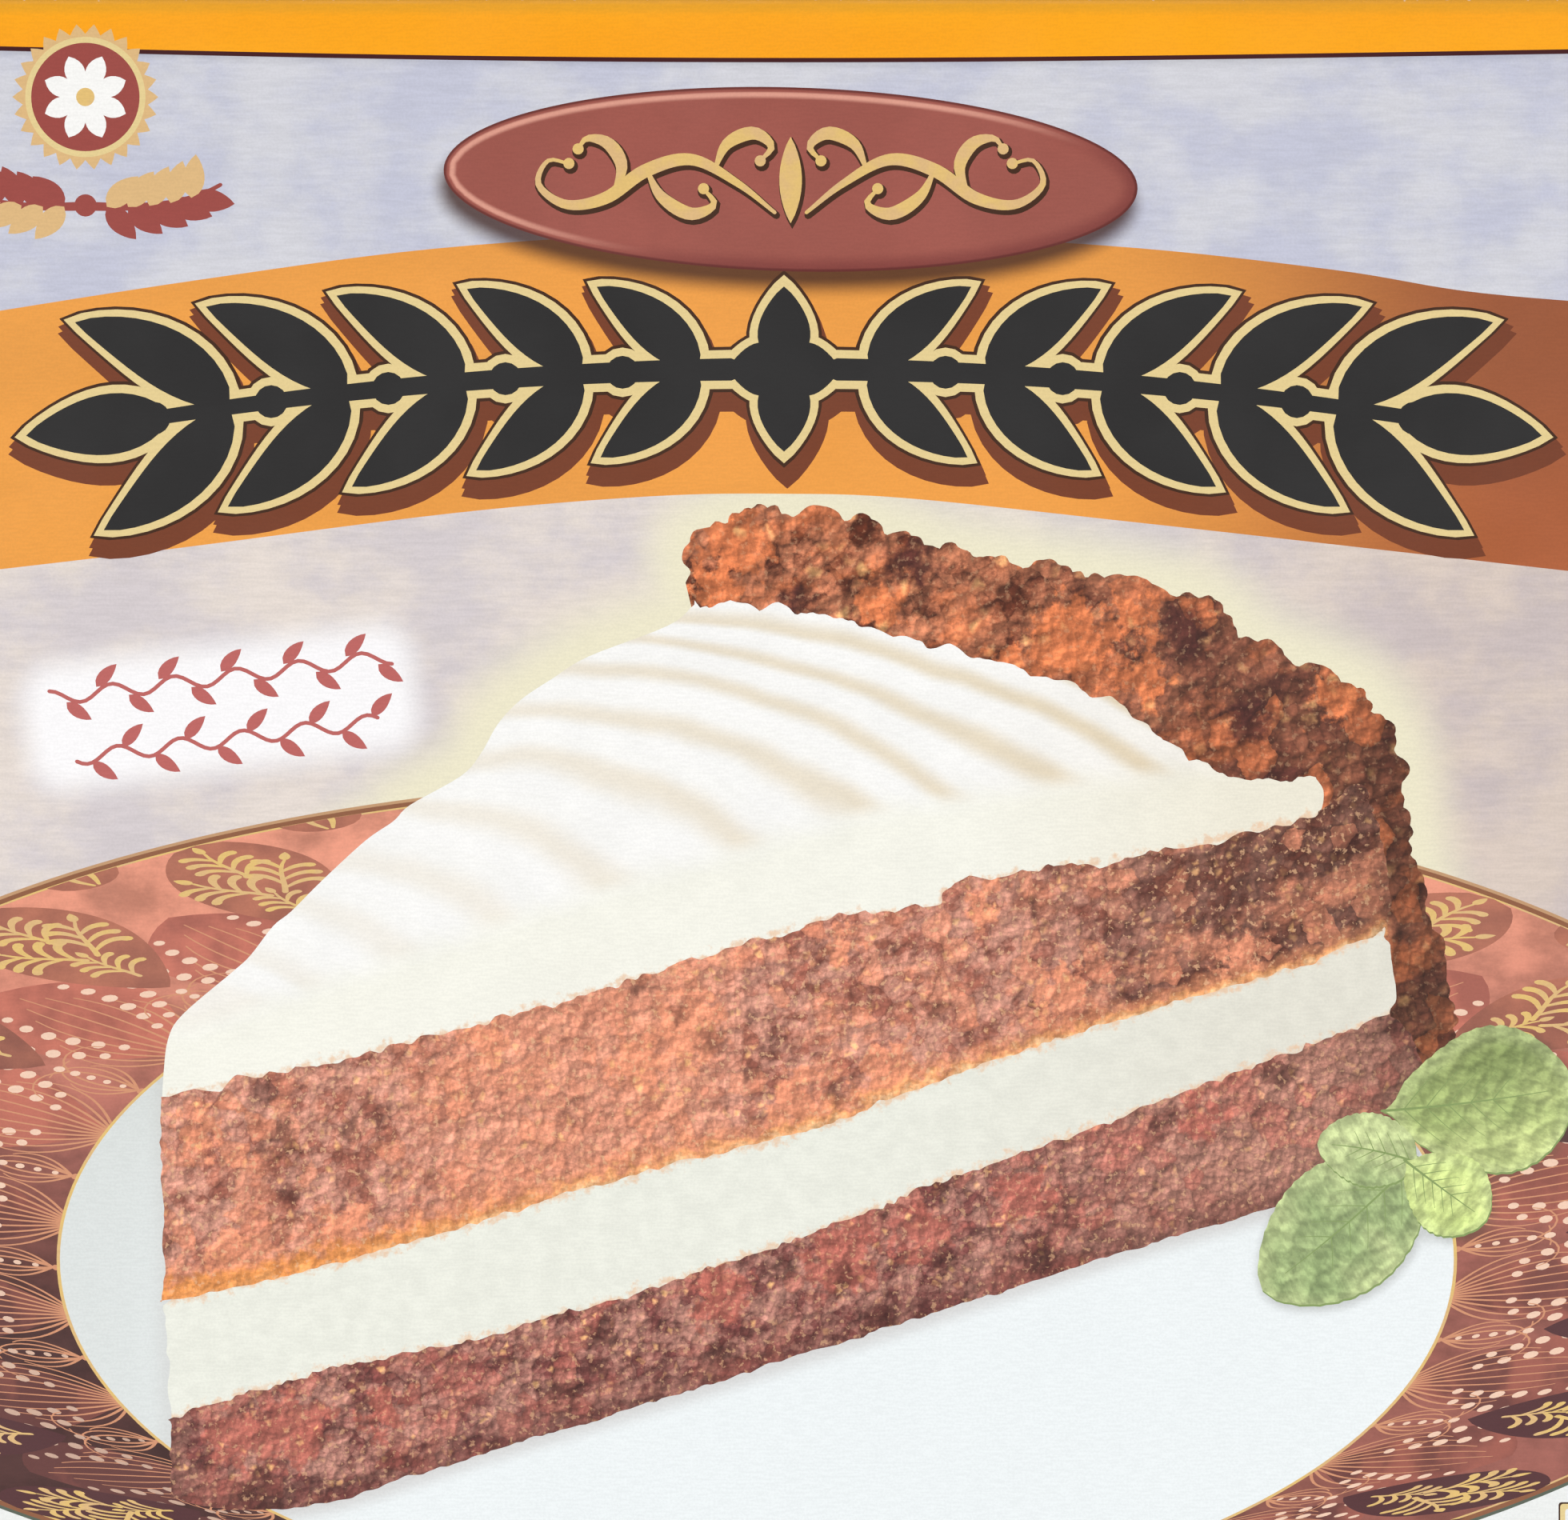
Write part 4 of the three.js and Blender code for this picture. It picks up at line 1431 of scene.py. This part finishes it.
def makeLidPanel():
    # The top sheet, creased along rings in its folds, with the fields that its inks read.
    creases = [lidOutline(turnEnd * share) for share in (0.2, 0.4, 0.6, 0.8, 1.0)]
    creases.append(np.array([(1, 1), (-1, 1), (-1, -1), (1, -1)]) * foldHalf)
    closed = [split(np.vstack([crease, crease[:1]]), sheet["longestEdge"], False) for crease in creases]
    silhouette = sliceOutline()
    leaves = [shifted(mintLeaf(*leaf[1:]), *mint["shade"]) for leaf in mint["leaves"]]
    bandFoot = through(panel["bandFoot"])
    bakedEdge = through(cakeSlice["fillingTop"])
    cakeEdges = [through(cakeSlice[key], 4) for key in ("cakeTop", "fillingTop", "fillingFoot")]
    fields = {
        "sliceNear": lambda flat: closeness(flat, silhouette, 20.0),
        "plaqueNear": lambda flat: closeness(flat, plaqueOutline(), 10.0),
        "plaqueShade": lambda flat: closeness(flat, shifted(plaqueOutline(), *panel["plaqueShade"]), 10.0),
        "patchNear": lambda flat: closeness(flat, patchOutline(), 8.0),
        "bandNear": lambda flat: np.maximum(10 - distanceTo(flat, bandFoot), 0),
        "bakedEdge": lambda flat: np.maximum(10 - distanceTo(flat, bakedEdge) * bakedThinning(flat), 0),
        "carrot": lambda flat: nearSpots(flat, crumb["carrot"]),
        "hollow": lambda flat: nearSpots(flat, crumb["hollows"]),
        "cakeNear": lambda flat: np.maximum(4 - np.min([distanceTo(flat, line) for line in cakeEdges], 0), 0),
        "mintNear": lambda flat: np.max([closeness(flat, leaf, 5.0) for leaf in leaves], 0),
        "ridgePhase": ridgePhase,
        "ridgeFade": ridgeFade,
        "foldNear": lidFoldNear,
    }
    outline = lidOutline(turnEnd + carton["lip"])
    foldedSheet("lid_panel", outline, panelArtwork(), placeLid, fields, 2.0, closed)


# The walls: the lid's three flaps, and the back wall that the lid hinges on

wall = {
    "baseTop": 37.5,             # the dark band at the foot of a flap ends here, above the table
    "goldLine": 0.9,
    "swoosh": (53.0, 70.0),      # foot and top of the orange swoosh at the middle
    "swooshDroop": 5.0,
    "plaque": (0.0, 61.5, 40.0, 10.6),
    "plaqueShade": (0.4, -1.2),
    "label": (62.0, 46.0, 15.5),     # place along the back wall, and half sizes
    "spacing": 3.0,                  # of the points over a wall
    "laurelScale": 0.46,
    "dots": 5.2,                 # spacing of the dots along the dark band
}


def flapOutline(half, foot, notch=0.0):
    # A flap that narrows a little towards its free edge, with round corners and a thumb notch.
    end = half - carton["flapEndGap"]
    tip = end - carton["flapTaper"]
    r = carton["flapCorner"]
    turn = np.radians(np.linspace(0, 90, 9))
    right = np.stack([tip - r + r * np.cos(turn), foot + r - r * np.sin(turn)], 1)
    points = [np.array([(-end, flapTop)]), right * (-1, 1)]
    if notch:
        arc = np.radians(np.linspace(180, 0, 17))
        points.append(np.stack([notch * np.cos(arc), foot + notch * np.sin(arc)], 1))
    points += [right[::-1], np.array([(end, flapTop)])]
    return np.vstack(points)


def wallSwoosh(half):
    # A band whose two edges droop as the square of the distance from the middle.
    x = np.linspace(-half, half, 40)
    droop = wall["swooshDroop"] * (x / half) ** 2
    foot, top = wall["swoosh"]
    return np.vstack([np.stack([x, foot - droop], 1), np.stack([x, top - droop], 1)[::-1]])


def baseBand(half, top):
    # A dark band with a gold line on top, a row of dots and a gold vine along it.
    layers = [("wallBand", strip(half, -5, top)), ("gold", strip(half, top, top + wall["goldLine"]))]
    count = int(half // wall["dots"])
    for k in range(-count, count + 1):
        layers.append(("dot", disc(k * wall["dots"], top - 2.2, 0.75, 12)))
    return layers + inked("gold", wavyVine(0, top - 6.6, half - 18, 0))


def wallArtwork(half, feature):
    # Lilac over the dark base band, with the swoosh and either the laurel or the plaque on it. The back
    # wall has the end of the orange band, a bare label and a scroll.
    top = wall["baseTop"]
    layers = [("frontGround" if feature == "laurel" else "ground", strip(half, -5, 90))] + baseBand(half, top)
    if feature == "back":
        band = carton["height"] - 10.0
        along, labelX, labelY = wall["label"]
        return layers + [
            ("band", strip(half, band, 90)),
            ("bandLine", strip(half, band - 0.7, band)),
            ("gold", strip(half, 3.8, 4.6)),
            *blankBox(along, (top + band) / 2 + 0.4, labelX, labelY, (0.3, 1.2), 1.2, 3),
            *inked("gold", flourish(-58, (top + band) / 2, 1.0)),
        ]
    layers.append(("swoosh", wallSwoosh(half)))
    middle = wall["plaque"][1]
    if feature == "laurel":
        scale = wall["laurelScale"]
        return layers + laurelArtwork(scale, (0, middle - laurel["top"] * scale + 1.6))
    layers.append(("plaque", ellipse(*wall["plaque"], 100)))
    return layers + inked("gold", flourish(0, middle, 0.76))


def placeOnWall(bearing):
    # A wall faces outwards at a bearing: 0 is the front, then counter-clockwise seen from above.
    c, s = math.cos(math.radians(bearing)), math.sin(math.radians(bearing))
    distance = carton["halfWidth"] if bearing % 180 else carton["halfDepth"]
    def place(flat, below):
        out = distance - below
        return np.column_stack([flat[:, 0] * c + out * s, flat[:, 0] * s - out * c, flat[:, 1]])
    return place


def makeWalls():
    # Each wall's outline, artwork and bearing. Only the side flaps have the plaque's fields.
    halfX, halfY = carton["halfWidth"], carton["halfDepth"]
    plaque = ellipse(*wall["plaque"], 100)
    near = {
        "plaqueNear": lambda flat: closeness(flat, plaque, 10.0),
        "plaqueShade": lambda flat: closeness(flat, shifted(plaque, *wall["plaqueShade"]), 10.0),
    }
    backOutline = np.roll(strip(halfX - carton["flapEndGap"], carton["foldRadius"], flapTop), 1, axis=0)
    for name, outline, half, feature, bearing, fields in (
        ("front_flap", flapOutline(halfX, flapFoot, carton["notch"]), halfX, "laurel", 0, {}),
        ("right_flap", flapOutline(halfY, flapFoot), halfY, "plaque", 90, near),
        ("left_flap", flapOutline(halfY, flapFoot), halfY, "plaque", 270, near),
        ("back_wall", backOutline, halfX, "back", 180, {}),
    ):
        foldedSheet(name, outline, wallArtwork(half, feature), placeOnWall(bearing), fields, wall["spacing"])


# The tray that the cake stands in

tray = {
    "rimHeight": 79.0,           # top edge of the tray's walls, under the lid
    "frames": ((123.0, 123.0), (122.0, 122.0), (81.0, 51.0), (80.0, 50.0)),   # half sizes on the underside
    "dotHeight": 7.5,            # of the row of dots and of the gold line, above the table
    "lineHeight": 4.2,
    "cornerSteps": 6,
    "sideSteps": 24,
}


def trayProfile():
    # How far in and how high each ring stands: out over the bottom, round its fold, up the outside of
    # the wall, over its edge, down the inside and in over the floor.
    board, r, top = carton["board"], carton["foldRadius"], tray["rimHeight"]
    half = carton["halfWidth"] - board
    turn = np.radians(np.linspace(0, 90, 6))
    profile = [(half - 0.5, 0.0), (half * 0.5, 0.0)]
    profile += [(r * (1 - math.sin(a)), r * (1 - math.cos(a))) for a in turn]
    profile += [(0.0, z) for z in (10, 22, 40, 60, top)]
    profile += [(board, z) for z in (top, 60, 40, 10, r)]
    return np.array(profile + [(r, board), (half * 0.5, board), (half - 0.5, board)])


def trayRings(inset):
    # One rounded rectangle for each inset. A point is a corner's middle plus its radius times a direction.
    arc = np.radians(np.linspace(0, 90, tray["cornerSteps"] + 1))
    side = np.linspace(0, 1, tray["sideSteps"] + 1)[1:-1, None]
    signs = np.array([(1, 1), (-1, 1), (-1, -1), (1, -1)], float)
    ring = []
    for k, (here, beyond) in enumerate(zip(signs, np.roll(signs, -1, axis=0))):
        angle = arc + k * math.pi / 2
        ways = np.stack([np.cos(angle), np.sin(angle)], 1)
        ring.append(np.hstack([np.tile(here, (len(arc), 1)), ways]))
        ring.append(np.hstack([here + (beyond - here) * side, np.tile(ways[-1], (len(side), 1))]))
    boxX, boxY, wayX, wayY = np.vstack(ring).T
    inset = inset[:, None]
    halfX, halfY = carton["halfWidth"] - carton["board"], carton["halfDepth"] - carton["board"]
    radius = np.clip(carton["cornerRadius"] - inset, 0.05, None)
    x = boxX * (halfX - inset - radius) + wayX * radius
    y = boxY * (halfY - np.minimum(inset, halfY - 0.5) - radius) + wayY * radius
    return np.stack([x, y], -1)


def makeTray():
    # The rings are stacked along the profile and joined, and a fan closes each end.
    inset, z = trayProfile().T
    flatRings = trayRings(inset)
    rings, count = flatRings.shape[:2]
    points = np.dstack([flatRings, np.broadcast_to(z[:, None], (rings, count))]).reshape(-1, 3)
    points = np.vstack([points, [(0, 0, 0)], [(0, 0, carton["board"])]])
    row, column = np.meshgrid(np.arange(rings - 1), np.arange(count), indexing="ij")
    beside = (column + 1) % count
    quads = np.stack([row * count + column, row * count + beside,
                      (row + 1) * count + beside, (row + 1) * count + column], -1).reshape(-1, 4)
    around, last = np.arange(count), (rings - 1) * count
    under = np.stack([np.roll(around, -1), around, np.full(count, rings * count)], 1)
    over = np.stack([last + around, last + np.roll(around, -1), np.full(count, rings * count + 1)], 1)
    mesh = bpy.data.meshes.new("tray")
    mesh.from_pydata((points * mm).tolist(), [], quads.tolist() + under.tolist() + over.tolist())

    halfway = flatRings[9]                                               # a ring halfway up the wall
    run = lengthAlong(np.vstack([halfway, halfway[:1]]))
    onBase, onWall = row.ravel() < 2, (row.ravel() >= 2) & (row.ravel() <= 11)
    alongWall = np.stack([run[column], run[column + 1], run[column + 1], run[column]], -1)
    upWall = np.stack([z[row], z[row], z[row + 1], z[row + 1]], -1)
    quadFlat = np.stack([alongWall, upWall], -1).reshape(-1, 4, 2)
    quadFlat[onBase] = points[quads[onBase], :2]
    flat = np.vstack([quadFlat.reshape(-1, 2), points[under.ravel(), :2], points[over.ravel(), :2]])
    slots = np.full(len(mesh.polygons), 2)
    slots[:len(quads)][onWall] = 0
    slots[:len(quads)][onBase] = 1
    slots[len(quads): len(quads) + count] = 1
    addArtwork(mesh, ("trayPrint", "trayBase", "rawBoard"), slots, flat)
    boardPiece("tray", mesh)


def darkPrint(tree):
    # The tray's dark colour, faintly blotched.
    return shaded(tree, printed("purple"), fade(tree, cloud(tree, 0.1, 3.0), 0.35, 0.65, 0.94, 1.06))


def trayColour(tree):
    # The tray's dark wall with one gold line and a row of dots near the table.
    x, y = placeXY(tree)
    along = minus(tree, calc(tree, "FRACT", calc(tree, "DIVIDE", x, wall["dots"])), 0.5)
    across = calc(tree, "DIVIDE", minus(tree, y, tray["dotHeight"]), wall["dots"])
    span = plus(tree, calc(tree, "POWER", along, 2.0), calc(tree, "POWER", across, 2.0))
    span = calc(tree, "SQRT", span)
    colour = tinted(tree, fade(tree, span, 0.16, 0.14), darkPrint(tree), "dot")
    line = fade(tree, calc(tree, "ABSOLUTE", minus(tree, y, tray["lineHeight"])), 0.42, 0.34)
    return tinted(tree, line, colour, "gold")


def trayBaseColour(tree):
    # The underside: the tray's dark print, a gold line near its edge and a bare pale panel in the middle.
    x, y = placeXY(tree)
    colour = darkPrint(tree)
    for (halfX, halfY), ink in zip(tray["frames"], ("gold", "purple", "gold", "footWhite")):
        inX = minus(tree, halfX, calc(tree, "ABSOLUTE", x))
        inY = minus(tree, halfY, calc(tree, "ABSOLUTE", y))
        inside = fade(tree, calc(tree, "MINIMUM", inX, inY), -0.1, 0.1)
        colour = tinted(tree, inside, colour, ink)
    return colour


inks["trayPrint"] = inkOn("tray print", trayColour)
inks["trayBase"] = inkOn("tray base", trayBaseColour)

makeLidPanel()
makeWalls()
makeTray()


# Floor, light and camera

view = {
    "middle": (0.0, 16.2),           # of the picture, in millimetres from the panel's middle
    "width": 237.4,                  # of the panel that the picture takes in
    "lens": 85.0,
    "sensor": 36.0,
}

light = {
    "sky": 0.43,
    "size": 0.9,                     # of each soft box, in metres
    "aim": (0.0, 0.0, 0.05),
    "boxes": (
        # place in metres, and strength in watts
        ("left softbox", (-1.3, -0.5, 1.1), 14.4),
        ("right softbox", (1.3, -0.5, 1.1), 14.4),
        ("back softbox", (0.0, 1.4, 1.0), 4.4),
    ),
}


def makeFloor():
    mesh = bpy.data.meshes.new("floor")
    mesh.from_pydata([(*spot, 0.0) for spot in strip(3.0, -3.0, 3.0).tolist()], [], [(0, 1, 2, 3)])
    material, shader = newMaterial("pale floor")[::2]
    shader.inputs["Base Color"].default_value = paint(226, 224, 220)
    shader.inputs["Roughness"].default_value = 0.7
    mesh.materials.append(material)
    added("floor", mesh)
    print("floor laid")


def makeLights():
    # Soft boxes that face the aim, and an even white sky.
    for name, place, strength in light["boxes"]:
        lamp = bpy.data.lights.new(name, "AREA")
        lamp.energy = strength
        lamp.size = light["size"]
        holder = added(name, lamp)
        holder.location = place
        holder.rotation_euler = (Vector(light["aim"]) - Vector(place)).to_track_quat("-Z", "Y").to_euler()
    world = bpy.data.worlds.new("studio")
    world.use_nodes = True
    sky = world.node_tree.nodes["Background"]
    sky.inputs["Color"].default_value = (1, 1, 1, 1)
    sky.inputs["Strength"].default_value = light["sky"]
    bpy.context.scene.world = world
    print("lights set:", len(light["boxes"]))


def makeCamera():
    # Straight above, as far off as the width of the picture times the lens over the sensor.
    camera = bpy.data.cameras.new("camera")
    camera.lens = view["lens"]
    camera.sensor_width = view["sensor"]
    camera.sensor_fit = "HORIZONTAL"
    distance = view["width"] * view["lens"] / view["sensor"]
    holder = added("camera", camera)
    holder.location = (view["middle"][0] * mm, view["middle"][1] * mm, (carton["height"] + distance) * mm)
    bpy.context.scene.camera = holder
    print("camera set")


makeFloor()
makeLights()
makeCamera()
bpy.context.scene.view_settings.view_transform = "Standard"
